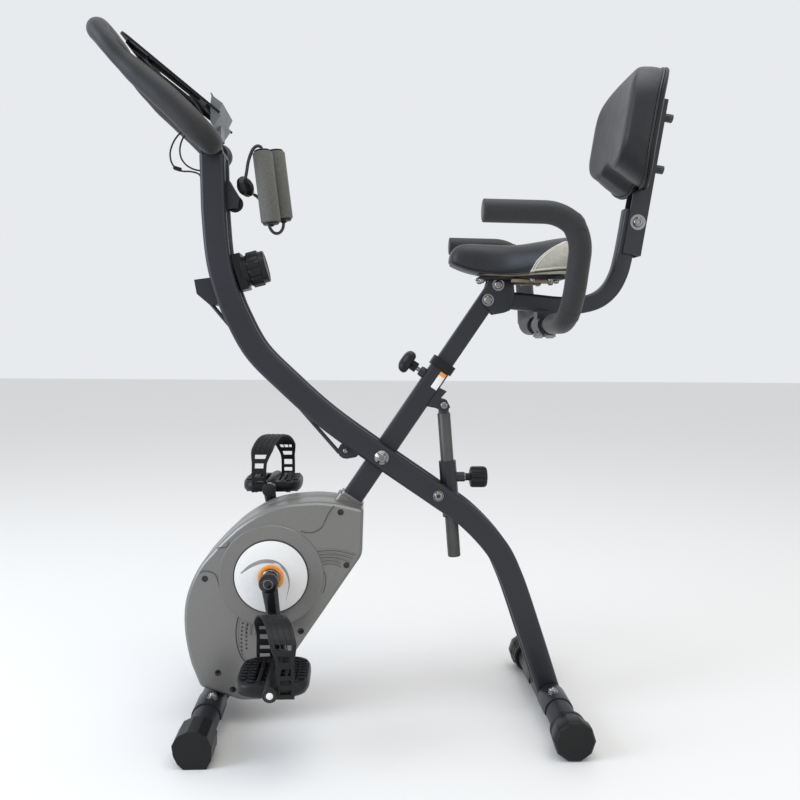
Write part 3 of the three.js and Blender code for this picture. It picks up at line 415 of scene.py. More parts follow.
IRON = material("turned_iron", "cast_iron", (0.16, 0.155, 0.15), 0.45, 0.8,
                grain=(300, 0.12), mottle=(25, 0.25), rough_spread=0.15)
FOAM = material("black_foam", "foam", (0.0150, 0.0145, 0.0150), 0.55,
                grain=(650, 0.30), mottle=(420, 0.28), rough_spread=0.1, sheen=0.10)
GREY_FOAM = material("grey_foam", "handle_foam", (0.105, 0.104, 0.092), 0.85,
                     grain=(700, 0.5), mottle=(500, 0.25), sheen=0.1)
LEATHER = material("leatherette", "leatherette", (0.0135, 0.0140, 0.0170), 0.42,
                   grain=(380, 0.10), mottle=(10, 0.2), cells=(700, 0.12), sheen=0.05)
PIPING = material("piping", "leatherette", (0.016, 0.016, 0.018), 0.35,
                  grain=(500, 0.2), mottle=(60, 0.2))
SILVER = material("silver_piping", "leatherette", (0.22, 0.22, 0.21), 0.45, 0.2,
                  grain=(500, 0.2), mottle=(60, 0.15))
BEIGE = material("beige_mesh", "leatherette", (0.46, 0.43, 0.36), 0.8,
                 grain=(900, 0.2), mottle=(120, 0.10), weave=(160, 0.4), sheen=0.2)
CREAM = material("cream_piping", "leatherette", (0.60, 0.57, 0.50), 0.55,
                 grain=(600, 0.2), mottle=(70, 0.1))
TAN = material("tan_lining", "leatherette", (0.24, 0.19, 0.13), 0.8,
               grain=(400, 0.3), mottle=(60, 0.25))
RUBBER = material("black_rubber", "rubber", (0.0055, 0.0060, 0.0064), 0.45,
                  grain=(800, 0.2), mottle=(40, 0.25), rough_spread=0.1, scuff=0.02, spec=0.3)
CORD = material("cord_sheath", "rubber", (0.035, 0.036, 0.040), 0.6,
                grain=(1500, 0.15), mottle=(200, 0.25))
WIRE = material("wire_sheath", "wire", (0.012, 0.012, 0.016), 0.45, grain=(900, 0.05),
                mottle=(100, 0.2))
LABEL = material("paper_label", "disc_plastic", (0.75, 0.74, 0.72), 0.5,
                 grain=(900, 0.02), mottle=(100, 0.05))

# ---- camera ----
CAMERA_AT = (-0.0565, -1.3454, 0.6356)
LENS_MM = 35.86
yaw, pitch, roll = math.radians(2.99), math.radians(4.11), math.radians(0.48)
look = Vector((math.sin(yaw) * math.cos(pitch), math.cos(yaw) * math.cos(pitch),
               -math.sin(pitch)))
right = Vector((math.cos(yaw), -math.sin(yaw), 0))
up = right.cross(look)
right, up = (right * math.cos(roll) + up * math.sin(roll),
             up * math.cos(roll) - right * math.sin(roll))
camera = bpy.data.objects.new("camera", bpy.data.cameras.new("camera"))
camera.data.sensor_width = 36
camera.data.lens = LENS_MM
camera.matrix_world = Matrix([(right[i], up[i], -look[i], CAMERA_AT[i]) for i in range(3)]
                             + [(0, 0, 0, 1)])
bpy.context.scene.collection.objects.link(camera)
bpy.context.scene.camera = camera

# ---- free cords, on the routes of their solids ----
BAND_ROPE_A = [
    (-242, -12, 902), (-239.5, -15, 913), (-237, -17, 926), (-233, -18, 938),
    (-228.5, -18, 947), (-222.5, -18, 951.5), (-217, -18, 950.5), (-214.6, -18, 946.5),
]
BAND_ROPE_B = [
    (-230, 0, 877), (-226, 3, 875), (-221, 7, 870), (-216, 10, 862), (-212, 13, 848),
    (-208.5, 15, 835), (-205, 16, 824), (-198, 16, 817), (-190.5, 16, 817.5),
    (-185, 16, 824), (-182.8, 16, 834.5),
]
WIRE_A = [
    (-338, -10, 978), (-343, -11, 974), (-351, -12, 966), (-359, -12, 953),
    (-363, -12, 938), (-361, -11, 924), (-354, -10, 915), (-344, -9, 911),
    (-333, -8, 911), (-322, -7, 909), (-314, -6, 905),
]
WIRE_B = [
    (-336, 0, 977), (-341, 0, 972), (-347, 0, 961), (-350, 0, 947), (-348, 0, 934),
    (-341, 0, 924), (-332, 0, 918), (-323, 0, 915), (-314, 0, 914),
]


def cord(name, points, radius, node, mat):
    path = spline(points, 6)
    obj = sweep(name, path, circle(radius, 14), "rear_frame", mat)
    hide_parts(node)


cord("rope_a", BAND_ROPE_A, 2.6, "band_rope_a", CORD)
cord("rope_b", BAND_ROPE_B, 2.6, "band_rope_b", CORD)
cord("wire_a", WIRE_A, 1.4, "console_wire_a", WIRE)
cord("wire_b", WIRE_B, 1.4, "console_wire_b", WIRE)

# ---- shared places ----
PIVOT = (-17.5, 445)
POST_ANGLE = math.radians(56.2)
ALONG = (math.cos(POST_ANGLE), math.sin(POST_ANGLE))
ACROSS = (-ALONG[1], ALONG[0])
CRANK = (-198.5, 251)
CRANK_AT = in_3d(CRANK)
CRANK_LEAN = math.radians(8.5)
CRANK_LENGTH = 119.5
PEDAL_MID = 169
RAIL_Y = 22
HOUSING_WALL = 52.0
STRUT_TOP = (87.3, 531)
SLEEVE_PIVOT = (77.7, 380.3)
BACK_LEAN = math.radians(8.66)
BACK_FOOT = (415.6, 784)
FRONT, REAR = (-299, 31), (276, 31)
SIDES = (("near", -1), ("far", 1))


def on_post(s, t=0.0):
    return (PIVOT[0] + s * ALONG[0] + t * ACROSS[0], PIVOT[1] + s * ALONG[1] + t * ACROSS[1])


def on_back(s, b, y=0.0):
    """A point s up the backrest bracket, b forward of its rear edge."""
    return vec(BACK_FOOT[0] + s * math.sin(BACK_LEAN) - b * math.cos(BACK_LEAN), y,
               BACK_FOOT[1] + s * math.cos(BACK_LEAN) + b * math.sin(BACK_LEAN))


def bolt(name, at, axis, radius, height, body, washer=0.0, socket=True):
    """A domed steel cap screw with a round recess, on an optional washer."""
    profile = [(0, height * 0.62)] if socket else [(0, height)]
    if socket:
        profile += [(radius * 0.36, height * 0.62), (radius * 0.42, height * 0.98)]
    profile += [(radius * 0.55, height), (radius * 0.8, height * 0.86),
                (radius * 0.95, height * 0.55), (radius, height * 0.2), (radius, 0)]
    if washer:
        profile += [(washer, 0), (washer, -0.3), (washer - 0.5, -1.4)]
    profile += [(0, -1.4 if washer else 0)]
    return lathe(name, profile, at, axis, body, STEEL, sides=36)


# ---- rails ----
RAIL_LINE = [
    (-294, 935), (-293, 890), (-291.5, 838), (-284, 762), (-270, 711), (-257.5, 680),
    (-226, 622), (-172, 567), (-109, 511), (-17.5, 445), (77, 380), (129, 343), (181, 286),
    (204, 241), (243, 131), (255, 95), (276, 31),
]
rail_path = even(spline(in_plane(RAIL_LINE, 0), 12), 8)
for side, sign in SIDES:
    path = [p + vec(0, sign * RAIL_Y, 0) for p in rail_path]
    obj = sweep(f"rail_tube_{side}", path, rounded_rect(17, 40, 7, 6), "rear_frame", PAINT)
    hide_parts(f"rail_{side}")


# ---- stabilizers and feet ----
def stabilizer(name, at, node, body):
    obj = lathe(name, [(0, -162), (21.4, -162), (22, -161), (22, 161), (21.4, 162), (0, 162)],
                in_3d(at), (0, 1, 0), body, PAINT)
    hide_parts(node)


stabilizer("front_foot_tube", FRONT, "front_stabilizer", "main_post")
stabilizer("rear_foot_tube", REAR, "rear_stabilizer", "rear_frame")


def rear_cap(side, sign):
    """Ten-sided levelling cap with a ribbed skirt."""
    half_side = math.pi / 10
    corner = 31 / math.cos(half_side)
    profile = [(0, 189), (corner - 7, 189), (corner - 4.5, 190), (corner - 1.5, 188.5),
               (corner, 186), (corner, 166), (corner - 1.5, 163), (29.5, 161.5), (29, 155),
               (28, 154), (28, 149), (29, 148), (29, 143), (26.5, 140), (22.4, 140),
               (22.4, 158), (0, 158)]
    bm = bmesh.new()
    sides = 80
    round_up_to = 29.9
    rows = []
    for r, d in profile:
        row = []
        for k in range(sides):
            angle = 2 * math.pi * k / sides
            reach = r
            if r > round_up_to:
                local = (angle + math.pi / 2 + half_side) % (2 * half_side) - half_side
                reach = r * math.cos(half_side) / math.cos(local)
            turned = Vector((math.cos(angle), 0, math.sin(angle)))
            row.append(bm.verts.new(in_3d(REAR, sign * d) + turned * reach))
        rows.append(row)
    for low, high in zip(rows, rows[1:]):
        for k in range(sides):
            j = (k + 1) % sides
            bm.faces.new((low[k], low[j], high[j], high[k]))
    obj = piece(f"rear_foot_cap_{side}", bm, "rear_frame", PLASTIC, angle=30)
    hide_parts(f"rear_cap_{side}")


for side, sign in SIDES:
    rear_cap(side, sign)


def carry_over(node, mat, bevel):
    """A CAD node kept as it is, with softened edges and its own finish."""
    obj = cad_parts[node]
    obj.data.materials.clear()
    obj.data.materials.append(mat)
    for polygon in obj.data.polygons:
        polygon.use_smooth = True
    if bevel:
        mod = obj.modifiers.new("edges", "BEVEL")
        mod.width = bevel * MM
        mod.segments = 2
        mod.limit_method = "ANGLE"
        mod.angle_limit = math.radians(35)
        mod.harden_normals = True


for node, mat, bevel in (
    ("main_post", PAINT, 0.6), ("post_collar", PLASTIC, 1.2), ("front_cap_near", PLASTIC, 1.5),
    ("front_cap_far", PLASTIC, 1.5), ("crank_axle", STEEL, 0.3), ("drive_pulley", PLASTIC, 0.4),
    ("flywheel", IRON, 0.4), ("drive_belt", RUBBER, 0.2), ("magnet_yoke", STEEL, 0.4),
    ("transport_wheel_near", RUBBER, 0.6), ("transport_wheel_far", RUBBER, 0.6),
    ("handlebar", PAINT, 0.8), ("console", CONSOLE, 1.6), ("tablet_tray", PLASTIC, 0),
    ("mode_button", WHITE, 0.3), ("tension_housing", PLASTIC, 2.0),
    ("band_bracket_front", PAINT, 1.0),
    ("band_pulley_front", PLASTIC, 0.3), ("band_pulley_rear", PLASTIC, 0.3),
    ("strut_sleeve", PAINT, 0.8), ("seat_post", PAINT, 0.5),
    ("handle_bar", PAINT, 0.6), ("back_bracket", PAINT, 0.6), ("pivot_bolt", STEEL, 0.3),
    ("band_stopper", PLASTIC, 0.3),
):
    carry_over(node, mat, bevel)

# ---- housing ----
HOUSING_TOP = [
    (-316, 65), (-331, 105), (-341, 165), (-337.5, 215), (-317, 264.6), (-294, 293),
    (-271, 316.5), (-246, 338), (-197, 364.5), (-132.5, 374), (-90, 371), (-47, 361),
]
HOUSING_REST = [(-49, 285), (-213, 42), (-224, 39.5), (-250, 41), (-292, 56)]


def round_corner(a, corner, b, radius, steps=8):
    back = corner + (a - corner).normalized() * radius
    ahead = corner + (b - corner).normalized() * radius
    return [back * (1 - t) ** 2 + corner * 2 * t * (1 - t) + ahead * t * t
            for t in (k / steps for k in range(steps + 1))]


def housing_outline():
    top = [Vector((p.x, p.z)) for p in spline(in_plane(HOUSING_TOP, 0), 10)]
    rest = [Vector(p) for p in HOUSING_REST]
    out = top[1:-1]
    out += round_corner(top[-2], top[-1], rest[0], 5)
    out += round_corner(top[-1], rest[0], rest[1], 9)
    out += round_corner(rest[0], rest[1], rest[2], 5)
    out += round_corner(rest[2], rest[3], rest[4], 6)
    out += round_corner(rest[3], rest[4], top[0], 6)
    out += round_corner(rest[4], top[0], top[1], 6)
    return out


def shell_rings(edge, centre, steps):
    """The convex outline moved inwards by each distance, corner for corner."""
    n = len(edge)
    lines = []
    for i in range(n):
        d = edge[(i + 1) % n] - edge[i]
        if d.length > 1e-6:
            normal = Vector((d.y, -d.x)).normalized()
            reach = normal.dot(edge[i] - centre)
            lines.append((normal, reach) if reach > 0 else (-normal, -reach))
    rings = []
    for inset, y in steps:
        ring = []
        for p in edge:
            u = (p - centre).normalized()
            r = min((reach - inset) / max(normal.dot(u), 1e-6)
                    for normal, reach in lines if normal.dot(u) > 1e-6)
            q = centre + u * r
            ring.append((q.x, y, q.y))
        rings.append(ring)
    return rings


def housing_half(side, sign):
    edge = housing_outline()
    steps = [(1.2, 0.3), (0.3, 0.9), (0, 1.8), (0, 43), (0.3, 46), (1.2, 48.4),
             (2.6, 50.0), (3.9, 50.7), (4.3, 51.3), (5.0, 51.8), (6.2, 52)]
    rings = [[vec(x, sign * y, z) for x, y, z in ring]
             for ring in shell_rings(edge, Vector((-190, 215)), steps)]
    bm = loft(rings, caps=False)
    bmesh.ops.holes_fill(bm, edges=[e for e in bm.edges if e.is_boundary
                                    and abs(e.verts[0].co.y) > 51.9])
    obj = piece(f"drive_shell_{side}", bm, "main_post", HOUSING, angle=38)
    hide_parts(f"housing_{side}")


for side, sign in SIDES:
    housing_half(side, sign)


def wall_strip(name, points, sign, width, height, mat):
    """A thin raised bead, or a dark line of painted groove shade, drawn on the housing's side."""
    path = spline(in_plane(points, sign * HOUSING_WALL), 8)
    section = [(-height * 0.4, -width / 2), (height, -width * 0.28), (height, width * 0.28),
               (-height * 0.4, width / 2)]
    return sweep(name, path, section, "main_post", mat, side=(0, sign, 0))


DISC_FACE = [(60, 53.0), (59.4, 54.6), (57.5, 55.2), (44, 57.2), (30, 58.5), (24, 59.0),
             (22, 58.6)]


def disc_depth(r):
    """How far out the disc's face stands at a radius."""
    for (r0, d0), (r1, d1) in zip(DISC_FACE, DISC_FACE[1:]):
        if r1 <= r <= r0:
            return d1 + (d0 - d1) * (r - r1) / (r0 - r1)
    return 59.0


for side, sign in SIDES:
    # dished ring round the disc
    lathe(f"shell_dish_{side}", [(60.5, 51.0), (60.5, 52.4), (64, 52.5), (74, 53.1),
                                 (81, 54.0), (83.2, 54.3), (84.6, 54.0), (85.5, 53.0),
                                 (85.9, 51.0)],
          CRANK_AT, (0, sign, 0), "main_post", HOUSING, sides=96, angle=25)
    # dark ring round the disc: painted shade of the gap between disc and dish
    lathe(f"shell_dish_gap_shade_{side}", [(59.8, 52.2), (59.8, 54.0), (61.6, 54.0), (61.6, 52.2)],
          CRANK_AT, (0, sign, 0), "main_post", PAINTED_SHADE_LINE, sides=96)
    # each crease is drawn twice: a lit bead in the housing colour and, 1.9 mm off, a dark copy as
    # its painted shade
    for k, drop in enumerate((0, 1.9)):
        wall_strip(f"shell_crease_panel_{side}_{k}", [
            (-94 - drop, 368), (-101 - drop, 359), (-108 - drop, 345), (-116, 334 - drop),
            (-127, 327 - drop), (-140, 325.5 - drop), (-150, 328 - drop)], sign, 1.3, 0.5,
            PAINTED_SHADE_LINE if k else HOUSING)
        wall_strip(f"shell_crease_left_{side}_{k}", [
            (-314, 260 - drop), (-306, 262.5 - drop), (-297, 261 - drop),
            (-289 - drop, 256), (-284 - drop, 247), (-281 - drop, 236)],
            sign, 1.3, 0.5, PAINTED_SHADE_LINE if k else HOUSING)
        wall_strip(f"shell_crease_top_{side}_{k}", [
            (-286, 297 + drop), (-279, 298 + drop), (-272 + drop, 301), (-266, 307 + drop)],
            sign, 1.3, 0.5, PAINTED_SHADE_LINE if k else HOUSING)
    vent = [(-243, 203), (-252, 184), (-256, 162), (-255, 140), (-249, 119), (-242, 108)]
    # the dark line along the vent's edge is painted shade, beside the lit bead
    wall_strip(f"shell_vent_edge_{side}", vent, sign, 2.0, 0.4, PAINTED_SHADE_LINE)
    wall_strip(f"shell_vent_bead_{side}", [(x + 3, z) for x, z in vent], sign, 2.0, 0.9,
               HOUSING)
    for k in range(3):
        wall_strip(f"shell_vent_rib_{side}_{k}", [
            (-231 + 8 * k, 193 - 3 * k), (-237 + 8 * k, 182 - 3 * k),
            (-241 + 8 * k, 168 - 2 * k), (-242 + 8 * k, 153)],
            sign, 2.0, 0.9, HOUSING)
        # the dark slots between the ribs are painted shade
        wall_strip(f"shell_vent_slot_{side}_{k}", [
            (-228 + 8 * k, 192 - 3 * k), (-234 + 8 * k, 181 - 3 * k),
            (-238 + 8 * k, 167 - 2 * k), (-239 + 8 * k, 153)],
            sign, 1.0, 0.3, PAINTED_SHADE_LINE)
    for k in range(5):
        # the two lowest ridges stop short of the screw
        end = (-60 - 4.2 * k, 288 - 6.4 * k) if k < 3 else (-84, 295.3 - 7.1 * k)
        line = [(-139 + 5 * k, 289 - 5.0 * k), (-118 + 2 * k, 294.5 - 5.4 * k),
                (-92, 295 - 5.8 * k), end]
        wall_strip(f"shell_ridge_{side}_{k}", line, sign, 3.0, 1.2, HOUSING)
        # the dark line just below each ridge is its painted shadow
        wall_strip(f"shell_ridge_shadow_{side}_{k}", [(x, z - 1.9) for x, z in line], sign,
                   0.9, 0.3, PAINTED_SHADE_LINE)
    # dark edge where the ridges end: painted shade
    wall_strip(f"shell_ridge_edge_{side}", [(-127, 293), (-122, 286), (-118, 278)], sign,
               1.2, 1.3, PAINTED_SHADE_LINE)
    # dark arc: painted shade of a groove
    wall_strip(f"shell_arc_{side}", [(-112, 259), (-109, 247), (-110, 234), (-114, 222)],
               sign, 1.2, 0.4, PAINTED_SHADE_LINE)
    # two columns of small dark dots by the vent, painted as the shade in vent holes
    for k in range(2):
        for j in range(9 - 2 * k):
            z = 173 - 6.6 * j - 3 * k
            x = -245 + 8.0 * k - 2.4 * math.sin((z - 111) / 62 * math.pi)
            lathe(f"shell_dot_{side}_{k}_{j}", [(0, 52.25), (1.5, 52.25), (1.8, 52.0),
                                                (1.8, 51.5), (0, 51.5)],
                  (x, 0, z), (0, sign, 0), "main_post", PAINTED_SHADE_LINE, sides=12)
    # black glossy caps over the screw holes, painted as the shade inside the holes
    for k, (x, z) in enumerate(((-85, 357.5), (-75, 269), (-150, 158.5), (-306, 248),
                                (-286, 89.5), (-262, 61))):
        lathe(f"shell_screw_{side}_{k}", [(0, 52.2), (3.4, 52.2), (4.1, 52.5), (4.9, 52.5),
                                          (5.2, 52.1), (5.2, 51), (0, 51)],
              (x, 0, z), (0, sign, 0), "main_post", GLOSSY, sides=32)
    # disc cover: shallow cone, crescent and orange ring
    profile = [(18, 52.3), (59.4, 52.3)] + DISC_FACE + [(18, 58.6), (18, 52.3)]
    obj = lathe(f"disc_{side}", profile, CRANK_AT, (0, sign, 0), "main_post", WHITE, sides=96)
    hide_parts(f"disc_cover_{side}")
    lathe(f"disc_ring_{side}", [(14.2, 54), (14.2, 58.4), (15.5, 59.6), (19.5, 59.8),
                                (21.4, 59.0), (21.4, 54), (14.2, 54)],
          CRANK_AT, (0, sign, 0), "main_post", ORANGE, sides=64)
    lathe(f"bearing_ring_{side}", [(11.8, 56), (11.8, 63.4), (13.2, 64), (14.0, 63.4),
                                   (14.0, 56), (11.8, 56)],
          CRANK_AT, (0, sign, 0), "main_post", STEEL, sides=64)
    # crescent on the disc
    line = spline([(-49, 0, 6.5), (-32, 0, 19.5), (-12, 0, 27), (8, 0, 25), (23, 0, 13),
                   (30, 0, -8), (25, 0, -38)], 10)
    bm = bmesh.new()
    rows = []
    for i, p in enumerate(line):
        t = i / (len(line) - 1)
        thick = 2.9 * math.sin(math.pi * min(1, t + 0.02) ** 0.7) ** 1.2 + 0.3
        along = (line[min(i + 1, len(line) - 1)] - line[max(i - 1, 0)]).normalized()
        out = Vector((-along.z, 0, along.x))
        row = []
        for side_step in (-thick, thick):
            q = p + out * side_step
            row.append(bm.verts.new((CRANK[0] + q.x, sign * (disc_depth(q.length) + 0.12),
                                     CRANK[1] + q.z)))
        rows.append(row)
    for a, b in zip(rows, rows[1:]):
        bm.faces.new((a[0], a[1], b[1], b[0]))
    piece(f"disc_swoosh_{side}", bm, "main_post", GREY_MARK)

# collar moulding where the post leaves the housing
sweep("neck_boot", [in_3d(on_post(s)) for s in (-112, -104, -93, -90)],
      rounded_rect(34, 49, 8), "main_post", HOUSING)
sweep("neck_boot_lip", [in_3d(on_post(s)) for s in (-94, -90, -86, -84.5)],
      rounded_rect(29.5, 43, 7), "main_post", HOUSING)


# ---- cranks and pedals ----
def pedal_centre(sign):
    """The near crank points down and the far one up."""
    return (CRANK[0] - sign * CRANK_LENGTH * math.sin(CRANK_LEAN),
            CRANK[1] + sign * CRANK_LENGTH * math.cos(CRANK_LEAN))


def crank(side, sign):
    end = pedal_centre(sign)
    bm = bmesh.new()
    path = []
    for k in range(25):
        t = k / 24
        x = CRANK[0] + (end[0] - CRANK[0]) * t
        z = CRANK[1] + (end[1] - CRANK[1]) * t
        y = 86.0 + 1.8 * math.sin(math.pi * t)
        path.append(vec(x, sign * y, z))

    def width(t):
        return 1.12 - 0.30 * min(1, t * 1.6) + 0.10 * max(0, t - 0.75) / 0.25
    arm = sweep_mesh(path, [(6.5 * math.copysign(abs(math.sin(a)) ** 0.7, math.sin(a)),
                             12 * math.copysign(abs(math.cos(a)) ** 0.7, math.cos(a)))
                            for a in (2 * math.pi * k / 28 for k in range(28))],
                     scale=width)
    join_into(bm, arm)
    join_into(bm, lathe_mesh([(8.8, 79.5), (14.5, 79.5), (15.5, 80.5), (15.5, 93), (14.5, 95),
                              (11, 96), (8.8, 96), (8.8, 79.5)], CRANK_AT,
                             (0, sign, 0), 48))
    join_into(bm, lathe_mesh([(0, 80), (11.5, 80), (12.5, 81), (12.5, 94), (11.5, 95),
                              (0, 95)], in_3d(end), (0, sign, 0), 40))
    obj = piece(f"crank_{side}", bm, "crankset", GLOSSY)
    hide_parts(f"crank_arm_{side}")
    lathe(f"crank_spindle_{side}", [(0, 94), (8, 94), (8, 101), (6, 102), (6, 226), (0, 226)],
          in_3d(end), (0, sign, 0), "crankset", STEEL, sides=32)
    lathe(f"crank_cap_{side}", [(0, 97.4), (6, 97.2), (8.6, 96.4), (9.4, 95.2), (9.4, 94),
                                (0, 94)], CRANK_AT, (0, sign, 0),
          "crankset", GLOSSY, sides=40)


def pedal(side, sign):
    cx, cz = pedal_centre(sign)
    mid = PEDAL_MID
    half_x, half_y = 54, 57
    bm = bmesh.new()
    # body: an oval ring with softened edges
    outline = []
    for k in range(72):
        a = 2 * math.pi * k / 72
        c, s = math.cos(a), math.sin(a)
        outline.append((half_x * math.copysign(abs(c) ** 0.62, c),
                        half_y * math.copysign(abs(s) ** 0.5, s)))
    rings = []
    for inset, z in ((7, -9.5), (2.5, -9), (0.6, -6), (0, -1), (0, 1), (0.6, 6), (2.5, 9),
                     (7, 9.5), (18, 9.5), (20, 7), (20, -7), (18, -9.5)):
        rings.append([vec(cx + x * (1 - inset / half_x),
                          sign * (mid + y * (1 - inset / half_y)), cz + z)
                      for x, y in outline])
    join_into(bm, loft(rings, closed=True))
    # barrel round the spindle
    join_into(bm, lathe_mesh([(6.4, 112), (11.5, 112), (12.5, 113), (12.5, 225),
                              (11.2, 227), (11.2, 236), (9.5, 238), (6.4, 238), (6.4, 112)],
                             (cx, 0, cz), (0, sign, 0), 40))
    obj = piece(f"pedal_body_{side}", bm, f"pedal_{side}", PLASTIC, angle=50)
    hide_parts(f"pedal_{side}")
    # tread: rows of raised teeth on both faces, and cross bars over the opening
    tread = bmesh.new()
    for face in (-1, 1):
        for row_x in (-43, -30, 30, 43):
            count = 9 if abs(row_x) < 40 else 7
            for k in range(count):
                y = mid + (k - (count - 1) / 2) * 10.5
                join_into(tread, block((cx + row_x, sign * y, cz + face * 9.6), (9, 5.6, 4.6)))
        for row_x in (-19, 19):
            join_into(tread, block((cx + row_x, sign * mid, cz + face * 7.5), (6, 92, 5)))
    for y in (-36, -18, 0, 18, 36):
        join_into(tread, block((cx, sign * (mid + y), cz), (74, 4, 9)))
    piece(f"pedal_tread_{side}", tread, f"pedal_{side}", PLASTIC, bevel=0.9)
    lathe(f"pedal_cap_{side}", [(0, 238.2), (7.6, 238.2), (8.4, 237.6), (8.4, 235), (0, 235)],
          (cx, 0, cz), (0, sign, 0), f"pedal_{side}", GLOSSY, sides=40)
    lathe(f"pedal_disc_{side}", [(0, 238.6), (4.6, 238.6), (5, 238.4), (5, 238), (0, 238)],
          (cx, 0, cz), (0, sign, 0), f"pedal_{side}", LABEL, sides=32)


def strap(side, sign):
    """An arched foot strap with raised beads and a slotted ladder at its outer end."""
    cx, cz = pedal_centre(sign)
    half, mid = 58.5, PEDAL_MID
    line = []
    for z in (-9, -2, 5, 12, 19):
        line.append((-half, z))
    for k in range(25):
        a = math.pi - math.pi * k / 24
        line.append((half * math.cos(a), 25 + 63 * math.sin(a) ** 0.9 if k % 24 else 25))
    for z in (19, 12, 5, -2, -9):
        line.append((half, z))
    n = len(line)

    def skew(y):
        return 0.36 * y

    def at(i, u, lift):
        y, z = line[i]
        y0, z0 = line[max(i - 1, 0)]
        y1, z1 = line[min(i + 1, n - 1)]
        t = Vector((y1 - y0, z1 - z0)).normalized()
        out = Vector((-t.y, t.x))
        yy, zz = y + out.x * lift, z + out.y * lift
        return vec(cx + u + skew(yy), sign * (mid + yy), cz + zz)

    def half_width(i):
        t = abs(i / (n - 1) - 0.5) * 2
        return 19.5 - 6.5 * max(0.0, min(1.0, (t - 0.42) / 0.18))

    bm = bmesh.new()
    strips = ((-1.0, -0.62), (-0.62, 0.62), (0.62, 1.0))
    for i in range(n - 1):
        t = (i + 0.5) / (n - 1)
        ladder = (t < 0.28 or t > 0.72) and i % 2 == 0
        for lo, hi in strips:
            if ladder and lo == -0.62:
                continue
            w0, w1 = half_width(i), half_width(i + 1)
            corners = []
            for lift in (0, 2.6):
                corners.append([bm.verts.new(at(i, w0 * lo, lift)),
                                bm.verts.new(at(i, w0 * hi, lift)),
                                bm.verts.new(at(i + 1, w1 * hi, lift)),
                                bm.verts.new(at(i + 1, w1 * lo, lift))])
            a, b = corners
            bm.faces.new(a)
            bm.faces.new(list(reversed(b)))
            for k in range(4):
                j = (k + 1) % 4
                bm.faces.new((a[k], a[j], b[j], b[k]))
    bmesh.ops.remove_doubles(bm, verts=bm.verts, dist=1e-3)
    # faces shared by neighbouring cells are inside the strap
    bm.verts.index_update()
    seen = {}
    for f in bm.faces:
        seen.setdefault(tuple(sorted(v.index for v in f.verts)), []).append(f)
    bmesh.ops.delete(bm, geom=[f for fs in seen.values() if len(fs) > 1 for f in fs],
                     context="FACES")
    obj = piece(f"foot_strap_{side}", bm, f"pedal_{side}", RUBBER, bevel=0.5)
    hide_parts(f"pedal_strap_{side}")
    for k, u in enumerate((-13.5, -4.5, 4.5, 13.5)):
        path = [at(i, u, 2.5) for i in range(9, n - 9)]
        sweep(f"foot_strap_bead_{side}_{k}", spline(path, 3), circle(1.0, 10),
              f"pedal_{side}", RUBBER)


for make in (crank, pedal, strap):
    for side, sign in SIDES:
        make(side, sign)

# ---- handlebar grips ----
BAR_HALF = [
    (-292, -30, 950), (-293, -58, 950), (-305, -80, 960), (-340, -88, 994),
    (-416, -86, 1061), (-444, -84, 1093), (-457, -68, 1110), (-459, -40, 1114),
    (-459, 0, 1114),
]
GRIP_PROFILE = [
    (0, 14), (0.015, 15.5), (0.06, 19), (0.2, 20.5), (0.36, 20), (0.5, 18.4), (0.62, 15.2),
    (0.7, 13.8), (0.78, 16.2), (0.86, 18), (1, 18.5),
]


def smooth_profile(table, t):
    for (u0, r0), (u1, r1) in zip(table, table[1:]):
        if t <= u1:
            s = (t - u0) / (u1 - u0)
            s = s * s * (3 - 2 * s)
            return r0 + (r1 - r0) * s
    return table[-1][1]


for side, sign in (("near", 1), ("far", -1)):
    path = even(spline([(x, sign * y, z) for x, y, z in BAR_HALF], 12), 3)
    obj = sweep(f"bar_foam_{side}", path, circle(1, 36), "rear_frame", FOAM,
                scale=lambda t: smooth_profile(GRIP_PROFILE, t))
    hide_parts(f"grip_{side}")


# ---- console details ----
face_dir = Vector((12.3, 0, 17)).normalized()
face_along = Vector((17, 0, -12.3)).normalized()
face_at = Vector((-280, 0, 1014.8))


def face_block(name, along, across, out, size, mat, bevel):
    centre = face_at + face_along * along + Vector((0, across, 0)) + face_dir * out
    bm = block(centre, size, tilt(face_along, face_dir))
    piece(name, bm, "rear_frame", mat, bevel=bevel, segments=3)


face_block("console_window", 1.5, -14, 0.3, (9, 56, 1.2), GLASS, 0.5)
face_block("console_bezel", 1.5, -14, 0.05, (11.5, 62, 1.0), PLASTIC, 0.4)
lathe("console_button_ring", [(5.3, -0.5), (5.3, 1.2), (6.4, 0.9), (6.8, 0.2), (6.8, -0.5)],
      face_at + Vector((0, 34, 0)), face_dir, "rear_frame", PLASTIC, sides=40)

# tray ribs and rails
tray_top, tray_foot = vec(-421, 0, 1101), vec(-276, 0, 989.5)
tray_dir = (tray_foot - tray_top).normalized()
tray_up = Vector((-tray_dir.z, 0, tray_dir.x))
tray_bars = [(f"tray_rib_{k}", s, 0, (3, width, 6))
             for k, (s, width) in enumerate(((14, 150), (50, 140), (128, 120), (160, 120)))]
tray_bars += [(f"tray_rail_{k}", 80, y, (130, 3, 6)) for k, y in enumerate((-56, 56))]
for name, s, y, size in tray_bars:
    centre = tray_top + tray_dir * s - tray_up * 2.5 + vec(0, y, 0)
    piece(name, block(centre, size, tilt(tray_dir, tray_up)), "rear_frame", PLASTIC, bevel=0.8)

# ---- tension unit ----
tension_at = vec(-277, 0, 742.5)
tension_dir = Vector((math.cos(math.radians(15)), 0, math.sin(math.radians(15))))


def flutes(r, d, angle):
    if 41 < d < 60 and r > 25:
        return r - 2.0 * (0.5 - 0.5 * math.tanh(4 * (math.cos(14 * angle) + 0.35)))
    return r


